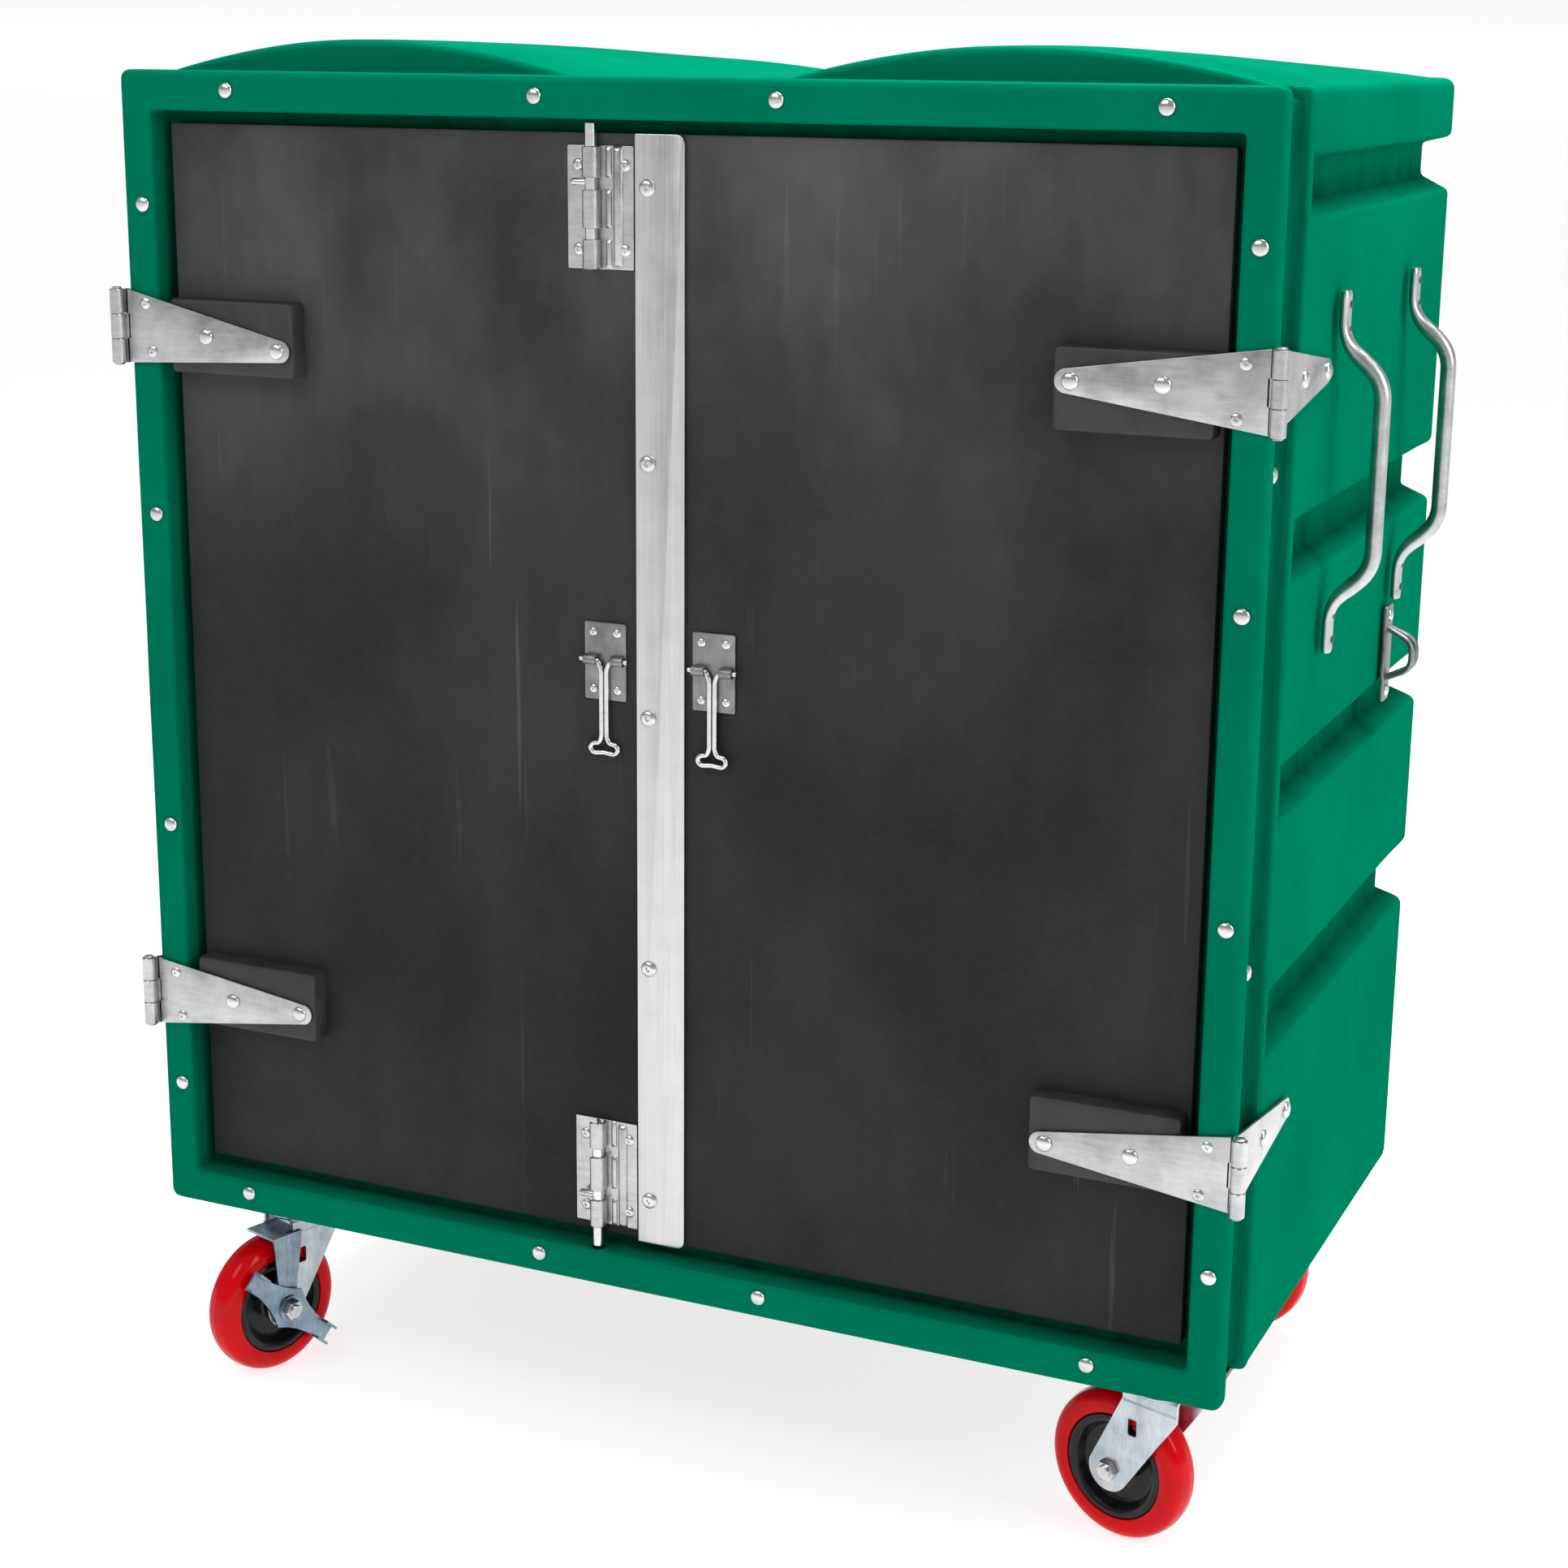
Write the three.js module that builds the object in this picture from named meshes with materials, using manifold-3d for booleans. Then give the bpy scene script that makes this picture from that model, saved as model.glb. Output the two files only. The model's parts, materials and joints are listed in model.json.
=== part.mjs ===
// Housekeeping cart: a moulded cabinet on four swivel casters, with two strap-hinged doors.
// Millimetres. +Z is up, the doors face -Y and the side handles are at +X.
// The parts are drawn with the cabinet's front left bottom corner at the origin.
// The group is then moved so that the object's box stands centred on the row's origin.
import * as THREE from "three";
import { mergeVertices } from "three/addons/utils/BufferGeometryUtils.js";
import Module from "manifold-3d";

const wasm = await Module();
wasm.setup();

// Cabinet
const BODY_W = 963;
const BODY_D = 580;
const BODY_H = 980;
const WALL = 6;
const GAP = 0.4;
const TOUCH_GAP = 0.3;
const REAR_CORNER_R = 22;
const EDGE_R = 10;
const RIM = { depth: 18, side: 28.5, bottom: 30, top: 32, bevel: 5 };
const NECK = { inset: 10, lid: 8 };
const RIDGE = { front: 76, back: 86 };
const LIP = { front: 31, back: 44, reach: 18 };
const CHANNEL_DEPTH = 20;
const CHANNELS = [
  { top: 931, bottom: 886 },
  { top: 671, bottom: 621 },
  { top: 486, bottom: 440 },
  { top: 309, bottom: 252 },
];
const DOME = { front: 48, back: 566, halfWidth: 188, offset: 276.5, rise: 26, rearRise: 11 };
const DOME_STEPS = { along: 5, across: 12 };

// Doors and what is screwed to them
const DOOR = { front: 17.5, thickness: 12.5, sideGap: 9, bottomGap: 12, topGap: 10, seam: 5 };
const STRIP = { left: 462, right: 504, thickness: 2.7, radius: 8 };
const SPACER = { left: 40.5, right: 160, height: 61, front: 0.2 };
const HINGE = { leafLength: 158, leafHeight: 61, thickness: 2.3, barrelR: 6, pinR: 2.9, tipR: 9 };
const HINGE_HEIGHTS = { upper: 774, lower: 195.5 };
const DROOPING_TIP = 14;
const SPACER_HEIGHTS = { upper: 768, lower: 201 };
const BOLT = { x: 427, rodR: 4.8, plateLeft: 404, plateRight: 460.5, plateLength: 92.5, tipGap: 1.2 };
const PULL = { offset: 47.5, plateW: 36.6, plateH: 62.5, top: 560.5, pivotZ: 530.5, wireR: 2.1, drop: 74 };
const SHEET = 1.6;
const DOOR_BOTTOM = RIM.bottom + DOOR.bottomGap;
const DOOR_TOP = BODY_H - RIM.top - DOOR.topGap;
const PLATE_FRONT = DOOR.front - TOUCH_GAP - SHEET;
const ROD_CLEARANCE = 0.6;
const ROD_Y = PLATE_FRONT - BOLT.rodR - ROD_CLEARANCE;

// Side hardware, shelves and undercarriage
const HANDLE = { tubeR: 6.4, standOff: 36, top: 830, bottom: 556, foot: 38, lean: 28 };
const HANDLE_DEPTHS = { front: 184, rear: 424 };
const STAPLE = { depth: 414, top: 552, bottom: 470, width: 24, wireR: 4, reach: 26 };
const SHELF = { thickness: 12, sideGap: 12, front: 62 };
const SHELF_ABOVE_CHANNELS = { upper: 1, lower: 3 };
const CASTER = { wheelR: 63.5, wheelW: 32, coreR: 45, trail: 37, top: 158.7, plateW: 92, plateD: 60 };
const FORK = { inside: 18.2, outside: 21.2, crown: 141, footR: 19, boreR: 6.3 };
const BASE = { inset: 14, thickness: 4.7 };
const BODY_Z = CASTER.top + BASE.thickness + 2 * TOUCH_GAP;
const BRAKE = {
  pedalReach: 57,
  hubHalf: 20,
  waistHalf: 9,
  tipHalf: 8,
  pedalAngle: -44,
  shoeLift: 2.8,
};

// Each caster's swivel axis from the cabinet's corner, and the way its wheel trails
const CASTERS = [
  { name: "front_left", x: 88, y: 74, trailAngle: -108, brake: true },
  { name: "front_right", x: 900, y: 73, trailAngle: 162.5 },
  { name: "rear_left", x: 90, y: 500, trailAngle: -155 },
  { name: "rear_right", x: 885, y: 500, trailAngle: 175 },
];

const PAINTS = {
  green: { color: 0x00735a, roughness: 0.45, metalness: 0 },
  charcoal: { color: 0x3e3e3e, roughness: 0.6, metalness: 0 },
  black: { color: 0x262626, roughness: 0.6, metalness: 0 },
  zinc: { color: 0xc4c8cc, roughness: 0.32, metalness: 1 },
  aluminium: { color: 0xd6d6d6, roughness: 0.3, metalness: 1 },
  blackSteel: { color: 0x303032, roughness: 0.5, metalness: 0.8 },
  shelf: { color: 0xc9cac6, roughness: 0.55, metalness: 0 },
  redTyre: { color: 0xcb1020, roughness: 0.25, metalness: 0 },
  core: { color: 0x161616, roughness: 0.25, metalness: 0 },
};

const cart = new THREE.Group();
const cabinet = new THREE.Group();
cabinet.position.z = BODY_Z;
cart.add(cabinet);

// ---- Geometry helpers ----

function solid(geometry) {
  const bare = new THREE.BufferGeometry();
  bare.setAttribute("position", geometry.getAttribute("position").clone());
  if (geometry.index) bare.setIndex(geometry.index.clone());
  const merged = mergeVertices(bare, 1e-4);
  const vertProperties = new Float32Array(merged.attributes.position.array);
  const triVerts = new Uint32Array(merged.index.array);
  return new wasm.Manifold(new wasm.Mesh({ numProp: 3, vertProperties, triVerts }));
}

function geometryOf(manifold) {
  const mesh = manifold.getMesh();
  const geometry = new THREE.BufferGeometry();
  geometry.setAttribute("position", new THREE.BufferAttribute(new Float32Array(mesh.vertProperties), 3));
  geometry.setIndex(new THREE.BufferAttribute(new Uint32Array(mesh.triVerts), 1));
  const flat = geometry.toNonIndexed();
  flat.computeVertexNormals();
  return flat;
}

function join(...pieces) {
  return pieces.reduce((whole, piece) => whole.add(piece));
}

function cut(whole, ...pieces) {
  return pieces.reduce((rest, piece) => rest.subtract(piece), whole);
}

function block(x0, x1, y0, y1, z0, z1) {
  const geometry = new THREE.BoxGeometry(x1 - x0, y1 - y0, z1 - z0);
  return solid(geometry.translate((x0 + x1) / 2, (y0 + y1) / 2, (z0 + z1) / 2));
}

// A round bar between two points.
function bar(from, to, radius, segments = 16) {
  const start = new THREE.Vector3(...from);
  const along = new THREE.Vector3(...to).sub(start);
  const geometry = new THREE.CylinderGeometry(radius, radius, along.length(), segments);
  const upright = new THREE.Vector3(0, 1, 0);
  const turn = new THREE.Quaternion().setFromUnitVectors(upright, along.clone().normalize());
  geometry.applyQuaternion(turn);
  const middle = start.addScaledVector(along, 0.5);
  return solid(geometry.translate(middle.x, middle.y, middle.z));
}

// A pipe with open ends.
function pipe(from, to, outerR, innerR, segments = 16) {
  return bar(from, to, outerR, segments).subtract(bar(from, to, innerR, segments));
}

// A round bar bent through points, with each corner eased by the given length.
function bentBar(points, radius, ease, { closed = false, steps = 24, sides = 10 } = {}) {
  const path = new THREE.CurvePath();
  const corners = points.map((p) => new THREE.Vector3(...p));
  const count = corners.length;
  const towards = (a, b) => a.clone().add(b.clone().sub(a).setLength(ease));
  let last = closed ? towards(corners[0], corners[1]) : corners[0];
  const first = last;
  for (let i = 1; i < (closed ? count + 1 : count - 1); i += 1) {
    const corner = corners[i % count];
    const entry = towards(corner, corners[i - 1]);
    const exit = towards(corner, corners[(i + 1) % count]);
    path.add(new THREE.LineCurve3(last, entry));
    path.add(new THREE.QuadraticBezierCurve3(entry, corner, exit));
    last = exit;
  }
  if (!closed) path.add(new THREE.LineCurve3(last, corners[count - 1]));
  if (closed && last.distanceTo(first) > 1e-3) path.add(new THREE.LineCurve3(last, first));
  const section = new THREE.Shape().absarc(0, 0, radius, 0, 2 * Math.PI);
  const stops = path.getSpacedPoints(steps).slice(0, -1);
  const extrudePath = closed ? new THREE.CatmullRomCurve3(stops, true) : path;
  const options = { steps, curveSegments: sides / 2, extrudePath, bevelEnabled: false };
  return solid(new THREE.ExtrudeGeometry(section, options));
}

const FRONT_PLANE = new THREE.Matrix4().makeBasis(
  new THREE.Vector3(1, 0, 0),
  new THREE.Vector3(0, 0, 1),
  new THREE.Vector3(0, -1, 0),
);
const SIDE_PLANE = new THREE.Matrix4().makeBasis(
  new THREE.Vector3(0, 1, 0),
  new THREE.Vector3(0, 0, 1),
  new THREE.Vector3(1, 0, 0),
);

// A plate drawn in X and Z whose front face is at yFront.
function frontPlate(shape, yFront, thickness, curveSegments = 4) {
  const options = { depth: thickness, curveSegments, bevelEnabled: false };
  const geometry = new THREE.ExtrudeGeometry(shape, options);
  return solid(geometry.applyMatrix4(FRONT_PLANE).translate(0, yFront + thickness, 0));
}

// A plate drawn in Y and Z that starts at xLeft.
function sidePlate(shape, xLeft, thickness, curveSegments = 4) {
  const options = { depth: thickness, curveSegments, bevelEnabled: false };
  const geometry = new THREE.ExtrudeGeometry(shape, options);
  return solid(geometry.applyMatrix4(SIDE_PLANE).translate(xLeft, 0, 0));
}

// A rectangle with its own radius at each corner: bottom left, bottom right, top right, top left.
function roundedRectangle(x0, x1, z0, z1, [bl, br, tr, tl]) {
  const shape = new THREE.Shape();
  shape.moveTo(x0 + bl, z0);
  shape.lineTo(x1 - br, z0);
  if (br) shape.absarc(x1 - br, z0 + br, br, -Math.PI / 2, 0);
  shape.lineTo(x1, z1 - tr);
  if (tr) shape.absarc(x1 - tr, z1 - tr, tr, 0, Math.PI / 2);
  shape.lineTo(x0 + tl, z1);
  if (tl) shape.absarc(x0 + tl, z1 - tl, tl, Math.PI / 2, Math.PI);
  shape.lineTo(x0, z0 + bl);
  if (bl) shape.absarc(x0 + bl, z0 + bl, bl, Math.PI, 1.5 * Math.PI);
  return shape;
}

// A closed solid through rings of equal point counts, each ring going anticlockwise seen from above.
function loft(rings) {
  const count = rings[0].length;
  const position = rings.flat().flatMap((p) => [p.x, p.y, p.z]);
  const index = [];
  for (let k = 0; k + 1 < rings.length; k += 1) {
    for (let i = 0; i < count; i += 1) {
      const a = k * count + i;
      const b = k * count + ((i + 1) % count);
      index.push(a, b, b + count, a, b + count, a + count);
    }
  }
  const last = (rings.length - 1) * count;
  for (let i = 1; i + 1 < count; i += 1) {
    index.push(0, i + 1, i);
    index.push(last, last + i, last + i + 1);
  }
  const geometry = new THREE.BufferGeometry();
  geometry.setAttribute("position", new THREE.Float32BufferAttribute(position, 3));
  geometry.setIndex(index);
  return solid(geometry);
}

function addMesh(parent, name, manifold, paint) {
  const mesh = new THREE.Mesh(geometryOf(manifold), new THREE.MeshStandardMaterial(PAINTS[paint]));
  mesh.name = name;
  parent.add(mesh);
  return mesh;
}

// ---- Cabinet ----

// Heights of the side wall's corners with how far each lies inside the widest outline.
function wallProfile(skin) {
  const low = skin;
  const high = BODY_H - skin;
  const profile = [
    { z: low, inset: skin + EDGE_R * 0.7 },
    { z: low + EDGE_R * 0.3, inset: skin + EDGE_R * 0.2 },
    { z: low + EDGE_R, inset: skin },
  ];
  for (const channel of [...CHANNELS].reverse()) {
    const bottom = channel.bottom - skin;
    const top = channel.top + skin;
    profile.push({ z: bottom, inset: skin });
    profile.push({ z: bottom + 12, inset: skin + CHANNEL_DEPTH });
    profile.push({ z: top - 5, inset: skin + CHANNEL_DEPTH });
    profile.push({ z: top, inset: skin });
  }
  profile.push({ z: high - EDGE_R, inset: skin });
  profile.push({ z: high - EDGE_R * 0.3, inset: skin + EDGE_R * 0.2 });
  profile.push({ z: high, inset: skin + EDGE_R * 0.7 });
  return profile;
}

// One level of the cabinet behind the ridge: square in front, round at the two rear corners.
function wallRing({ z, inset }, yFront) {
  const left = inset;
  const right = BODY_W - inset;
  const back = BODY_D - inset;
  const ring = [new THREE.Vector3(left, yFront, z), new THREE.Vector3(right, yFront, z)];
  const corners = [
    { x: right - REAR_CORNER_R, from: 0 },
    { x: left + REAR_CORNER_R, from: Math.PI / 2 },
  ];
  for (const { x, from } of corners) {
    for (let i = 0; i <= 6; i += 1) {
      const angle = from + (i * Math.PI) / 12;
      const px = x + REAR_CORNER_R * Math.cos(angle);
      const py = back - REAR_CORNER_R + REAR_CORNER_R * Math.sin(angle);
      ring.push(new THREE.Vector3(px, py, z));
    }
  }
  return ring;
}

function cabinetBox(skin, yFront) {
  return loft(wallProfile(skin).map((level) => wallRing(level, yFront)));
}

// A lid dome: an arch across X that is highest near the front and sinks towards the back.
function dome(xMiddle, skin) {
  const halfWidth = DOME.halfWidth - skin;
  const front = DOME.front + skin;
  const back = DOME.back - skin;
  const rings = [];
  for (let k = 0; k <= DOME_STEPS.along; k += 1) {
    const along = k / DOME_STEPS.along;
    const y = front + (back - front) * along;
    const rise = DOME.rise + (DOME.rearRise - DOME.rise) * along * along;
    const arch = [];
    for (let i = 0; i <= DOME_STEPS.across; i += 1) {
      const across = 1 - (2 * i) / DOME_STEPS.across;
      const z = BODY_H - skin + rise * (1 - across * across);
      arch.push(new THREE.Vector3(xMiddle + across * halfWidth, y, z));
    }
    arch.unshift(new THREE.Vector3(xMiddle + halfWidth, y, BODY_H - 2 * EDGE_R));
    arch.push(new THREE.Vector3(xMiddle - halfWidth, y, BODY_H - 2 * EDGE_R));
    rings.unshift(arch);
  }
  return loft(rings);
}

function rimFlange() {
  const b = RIM.bevel;
  const shape = roundedRectangle(b, BODY_W - b, b, BODY_H - b, [6, 6, 6, 6]);
  const open = [RIM.side - b, BODY_W - RIM.side + b, RIM.bottom - b, BODY_H - RIM.top + b];
  shape.holes.push(roundedRectangle(...open, [3, 3, 3, 3]));
  const options = {
    depth: RIM.depth - 2 * b,
    bevelThickness: b,
    bevelSize: b,
    bevelSegments: 3,
    curveSegments: 3,
  };
  const geometry = new THREE.ExtrudeGeometry(shape, options).applyMatrix4(FRONT_PLANE);
  return solid(geometry.translate(0, RIM.depth - b, 0));
}

function doorway(inset, y0, y1) {
  return block(
    RIM.side + inset,
    BODY_W - RIM.side - inset,
    y0,
    y1,
    RIM.bottom + inset,
    BODY_H - RIM.top - inset,
  );
}

function buildBody() {
  const neckTop = BODY_H - NECK.lid;
  const neck = block(NECK.inset, BODY_W - NECK.inset, RIM.bevel, RIDGE.front + 2, 4, neckTop);
  const ridge = frontPlate(
    roundedRectangle(0, BODY_W, 0, BODY_H, [6, 6, EDGE_R, EDGE_R]),
    RIDGE.front,
    RIDGE.back - RIDGE.front,
  );
  const centres = [BODY_W / 2 - DOME.offset, BODY_W / 2 + DOME.offset];
  const outside = join(
    cabinetBox(0, RIDGE.front + 4),
    neck,
    ridge,
    ...centres.map((x) => dome(x, 0)),
  ).subtract(doorway(0, -1, LIP.front));
  const inside = join(
    cabinetBox(WALL, RIDGE.front + 4),
    block(NECK.inset + WALL, BODY_W - NECK.inset - WALL, LIP.back, RIDGE.back - WALL + 1, 10, neckTop - WALL),
    ...centres.map((x) => dome(x, WALL)),
    doorway(LIP.reach, LIP.front - 1, RIDGE.back),
  );
  const boltHole = (z0, z1) => bar([BOLT.x, ROD_Y, z0], [BOLT.x, ROD_Y, z1], BOLT.rodR + 1.4);
  const shell = join(cut(outside, inside), rimFlange());
  const holeTop = BODY_H - RIM.top;
  const drilled = cut(shell, boltHole(holeTop - 1, holeTop + 16), boltHole(RIM.bottom - 16, RIM.bottom + 1));
  addMesh(cabinet, "body_shell", drilled, "green");
}

function buildDoorFrame() {
  const margin = 20;
  const shape = roundedRectangle(margin, BODY_W - margin, 14, BODY_H - 18, [0, 0, 0, 0]);
  const reach = LIP.reach + 2;
  const hole = [RIM.side + reach, BODY_W - RIM.side - reach, RIM.bottom + reach, BODY_H - RIM.top - reach];
  shape.holes.push(roundedRectangle(...hole, [0, 0, 0, 0]));
  addMesh(cabinet, "door_frame_plate", frontPlate(shape, LIP.back + GAP, 3), "blackSteel");
}

function buildShelves() {
  for (const [name, channel] of Object.entries(SHELF_ABOVE_CHANNELS)) {
    const z = CHANNELS[channel].top + WALL + GAP;
    const x0 = WALL + SHELF.sideGap;
    const back = BODY_D - WALL - SHELF.sideGap;
    const shape = new THREE.Shape();
    shape.moveTo(x0, SHELF.front);
    shape.lineTo(BODY_W - x0, SHELF.front);
    shape.absarc(BODY_W - x0 - REAR_CORNER_R, back - REAR_CORNER_R, REAR_CORNER_R, 0, Math.PI / 2);
    shape.absarc(x0 + REAR_CORNER_R, back - REAR_CORNER_R, REAR_CORNER_R, Math.PI / 2, Math.PI);
    const geometry = new THREE.ExtrudeGeometry(shape, { depth: SHELF.thickness, bevelEnabled: false });
    addMesh(cabinet, name + "_shelf", solid(geometry.translate(0, 0, z)), "shelf");
  }
}

// ---- Doors ----

function buildDoors() {
  const x0 = RIM.side + DOOR.sideGap;
  const seam = (BODY_W - DOOR.seam) / 2;
  const back = DOOR.front + DOOR.thickness;
  const panel = (left, right) => block(left, right, DOOR.front, back, DOOR_BOTTOM, DOOR_TOP);
  addMesh(cabinet, "left_door", panel(x0, seam), "charcoal");
  addMesh(cabinet, "right_door", panel(BODY_W - seam, BODY_W - x0), "charcoal");
  const corners = [0, STRIP.radius, STRIP.radius, 0];
  const outline = roundedRectangle(STRIP.left, STRIP.right, DOOR_BOTTOM - 2, DOOR_TOP, corners);
  const front = DOOR.front - TOUCH_GAP - STRIP.thickness;
  addMesh(cabinet, "centre_strip", frontPlate(outline, front, STRIP.thickness), "aluminium");
}

// A strap hinge for the left side, with its pin just outside the cabinet's front corner.
function buildHinge(parent, prefix, height, tipDrop) {
  const { barrelR, thickness, leafHeight, leafLength, tipR, pinR } = HINGE;
  const axis = -(barrelR + GAP);
  const bottom = height - leafHeight / 2;
  const third = leafHeight / 3;
  const knuckle = (from, to) =>
    pipe(
      [axis, axis, bottom + from * third + 0.2],
      [axis, axis, bottom + to * third - 0.2],
      barrelR,
      pinR + GAP,
    );
  const leafShape = (drop) => {
    const shape = new THREE.Shape();
    const tip = leafLength - tipR;
    shape.moveTo(barrelR * 0.2, bottom + 0.4);
    shape.lineTo(tip, height - drop - tipR);
    shape.absarc(tip, height - drop, tipR, -Math.PI / 2, Math.PI / 2);
    shape.lineTo(barrelR * 0.2, bottom + leafHeight - 0.4);
    return shape;
  };
  const face = -(GAP + thickness);
  const web = (from, to) => [bottom + from * third + 0.2, bottom + to * third - 0.2];
  const doorLeaf = join(
    frontPlate(leafShape(tipDrop), face, thickness),
    block(axis + pinR + 1.2, 3, face, -GAP, ...web(1, 2)),
    knuckle(1, 2),
  );
  addMesh(parent, prefix + "_door_leaf", doorLeaf, "zinc");
  const sideLeaf = join(
    sidePlate(leafShape(0), face, thickness),
    block(face, -GAP, axis + pinR + 1.2, 3, ...web(0, 1)),
    block(face, -GAP, axis + pinR + 1.2, 3, ...web(2, 3)),
    knuckle(0, 1),
    knuckle(2, 3),
  );
  addMesh(parent, prefix + "_side_leaf", sideLeaf, "zinc");
  const pin = join(
    bar([axis, axis, bottom - 1.2], [axis, axis, bottom + leafHeight + 1.2], pinR),
    bar([axis, axis, bottom - 1.6], [axis, axis, bottom - 0.4], pinR + 1.2),
    bar([axis, axis, bottom + leafHeight + 0.4], [axis, axis, bottom + leafHeight + 1.6], pinR + 1.2),
  );
  addMesh(parent, prefix + "_hinge_pin", pin, "zinc");
}

function buildHinges() {
  const mirrored = new THREE.Group();
  mirrored.scale.x = -1;
  mirrored.position.x = BODY_W;
  cabinet.add(mirrored);
  for (const [side, parent] of [["left", cabinet], ["right", mirrored]]) {
    for (const level of ["upper", "lower"]) {
      const prefix = level + "_" + side;
      buildHinge(parent, prefix, HINGE_HEIGHTS[level], prefix === "upper_left" ? DROOPING_TIP : 0);
      const z = SPACER_HEIGHTS[level];
      const half = SPACER.height / 2;
      const { left, right, front } = SPACER;
      const spacer = block(left, right, front, DOOR.front - TOUCH_GAP, z - half, z + half);
      addMesh(parent, prefix + "_spacer", spacer, "black");
    }
  }
}

// A barrel bolt drawn with its rod's tip at z = 0 and the rest hanging below it.
function buildBolt(prefix, tipZ, flip) {
  const group = new THREE.Group();
  group.position.z = tipZ;
  group.scale.z = flip;
  cabinet.add(group);
  const top = -18.3;
  const bottom = top - BOLT.plateLength;
  const shape = roundedRectangle(BOLT.plateLeft, BOLT.plateRight, bottom, top, [0, 0, 0, 0]);
  const ridge = block(BOLT.x + 17, BOLT.x + 24, PLATE_FRONT - 1.6, PLATE_FRONT + 0.4, bottom + 2, top);
  const guideR = BOLT.rodR + 2.4;
  const slot = (z0, z1) => block(BOLT.x - 12, BOLT.x, ROD_Y - 3.7, ROD_Y + 3.7, z0 - 1, z1 + 1);
  const guide = (z0, z1) =>
    cut(
      pipe([BOLT.x, ROD_Y, z0], [BOLT.x, ROD_Y, z1], guideR, BOLT.rodR + ROD_CLEARANCE),
      slot(z0, z1),
      block(BOLT.x - 12, BOLT.x + 12, PLATE_FRONT + SHEET, PLATE_FRONT + 6, z0 - 1, z1 + 1),
    );
  const plate = join(
    frontPlate(shape, PLATE_FRONT, SHEET),
    ridge,
    guide(-41.8, -18.6),
    guide(-79.8, -50.8),
    guide(-110.5, -88),
  );
  addMesh(group, prefix + "_bolt_plate", plate, "zinc");
  const rod = join(
    bar([BOLT.x, ROD_Y, -106], [BOLT.x, ROD_Y, -1.5], BOLT.rodR),
    bar([BOLT.x, ROD_Y, -1.6], [BOLT.x, ROD_Y, 0], BOLT.rodR - 1),
    bar([BOLT.x, ROD_Y, -45.3], [BOLT.x - 17, ROD_Y, -45.3], 3),
  );
  addMesh(group, prefix + "_bolt_rod", rod, "zinc");
}

// A drop pull: a plate with two curls that hold the cross bar of a bent wire.
function buildPull(prefix, x) {
  const { plateW, plateH, top, pivotZ, wireR, drop } = PULL;
  const half = plateW / 2;
  const pivotY = PLATE_FRONT - wireR - ROD_CLEARANCE;
  const shape = roundedRectangle(x - half, x + half, top - plateH, top, [0, 0, 0, 0]);
  const curl = (x0, x1) =>
    cut(
      pipe([x0, pivotY, pivotZ], [x1, pivotY, pivotZ], wireR + 2.1, wireR + 0.5),
      block(x0 - 1, x1 + 1, PLATE_FRONT + SHEET, PLATE_FRONT + 6, pivotZ - 9, pivotZ + 9),
    );
  const plate = join(
    frontPlate(shape, PLATE_FRONT, SHEET),
    curl(x - half + 1, x - 6.5),
    curl(x + 6.5, x + half - 1),
  );
  addMesh(cabinet, prefix + "_pull_plate", plate, "zinc");
  const foot = pivotZ - drop;
  const shank = (side) =>
    bar([x + side * 2.3, pivotY, pivotZ], [x + side * 2.3, pivotY, foot + 6], wireR, 12);
  const loop = [
    [x - 11.5, pivotY, foot],
    [x + 11.5, pivotY, foot],
    [x + 11.5, pivotY, foot + 8],
    [x - 11.5, pivotY, foot + 8],
  ];
  const wire = join(
    bar([x - half - 3, pivotY, pivotZ], [x + half, pivotY, pivotZ], wireR),
    shank(-1),
    shank(1),
    bentBar(loop, wireR, 3.6, { closed: true, steps: 18, sides: 8 }),
  );
  addMesh(cabinet, prefix + "_pull_wire", wire, "zinc");
}

// ---- Side hardware ----

function buildHandle(name, y) {
  const { tubeR, standOff, top, bottom, foot, lean } = HANDLE;
  const near = BODY_W + GAP + 4;
  const far = BODY_W + standOff;
  const route = [
    [near, y, top - foot + 14],
    [near, y, top - foot],
    [far, y, top - foot - lean],
    [far, y, bottom + foot + lean],
    [near, y, bottom + foot],
    [near, y, bottom + foot - 14],
  ];
  const trim = block(BODY_W - 10, BODY_W + GAP, y - 20, y + 20, bottom, top);
  const tube = bentBar(route, tubeR, 13, { steps: 20, sides: 8 }).subtract(trim);
  const pad = (z0, z1, radii) =>
    sidePlate(roundedRectangle(y - 8, y + 8, z0, z1, radii), BODY_W + GAP, 4.6);
  const handle = join(
    tube,
    pad(top - foot, top, [3, 3, 7, 7]),
    pad(bottom, bottom + foot, [7, 7, 3, 3]),
  );
  addMesh(cabinet, name, handle, "zinc");
}

function buildStaple() {
  const { depth, top, bottom, width, wireR, reach } = STAPLE;
  const outline = roundedRectangle(depth - width / 2, depth + width / 2, bottom, top, [6, 6, 6, 6]);
  const middle = (top + bottom) / 2;
  const route = [
    [BODY_W + 1.6, depth, middle + 22],
    [BODY_W + reach, depth, middle + 14],
    [BODY_W + reach, depth, middle - 14],
    [BODY_W + 1.6, depth, middle - 22],
  ];
  const loop = bentBar(route, wireR, 8, { steps: 14, sides: 8 });
  const trim = block(BODY_W - 12, BODY_W + GAP, depth - 9, depth + 9, bottom, top);
  const staple = join(sidePlate(outline, BODY_W + GAP, 3), loop.subtract(trim));
  addMesh(cabinet, "side_staple", staple, "zinc");
}

// ---- Undercarriage ----

function turned(profile, segments) {
  return solid(new THREE.LatheGeometry(profile.map((p) => new THREE.Vector2(...p)), segments));
}

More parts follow.
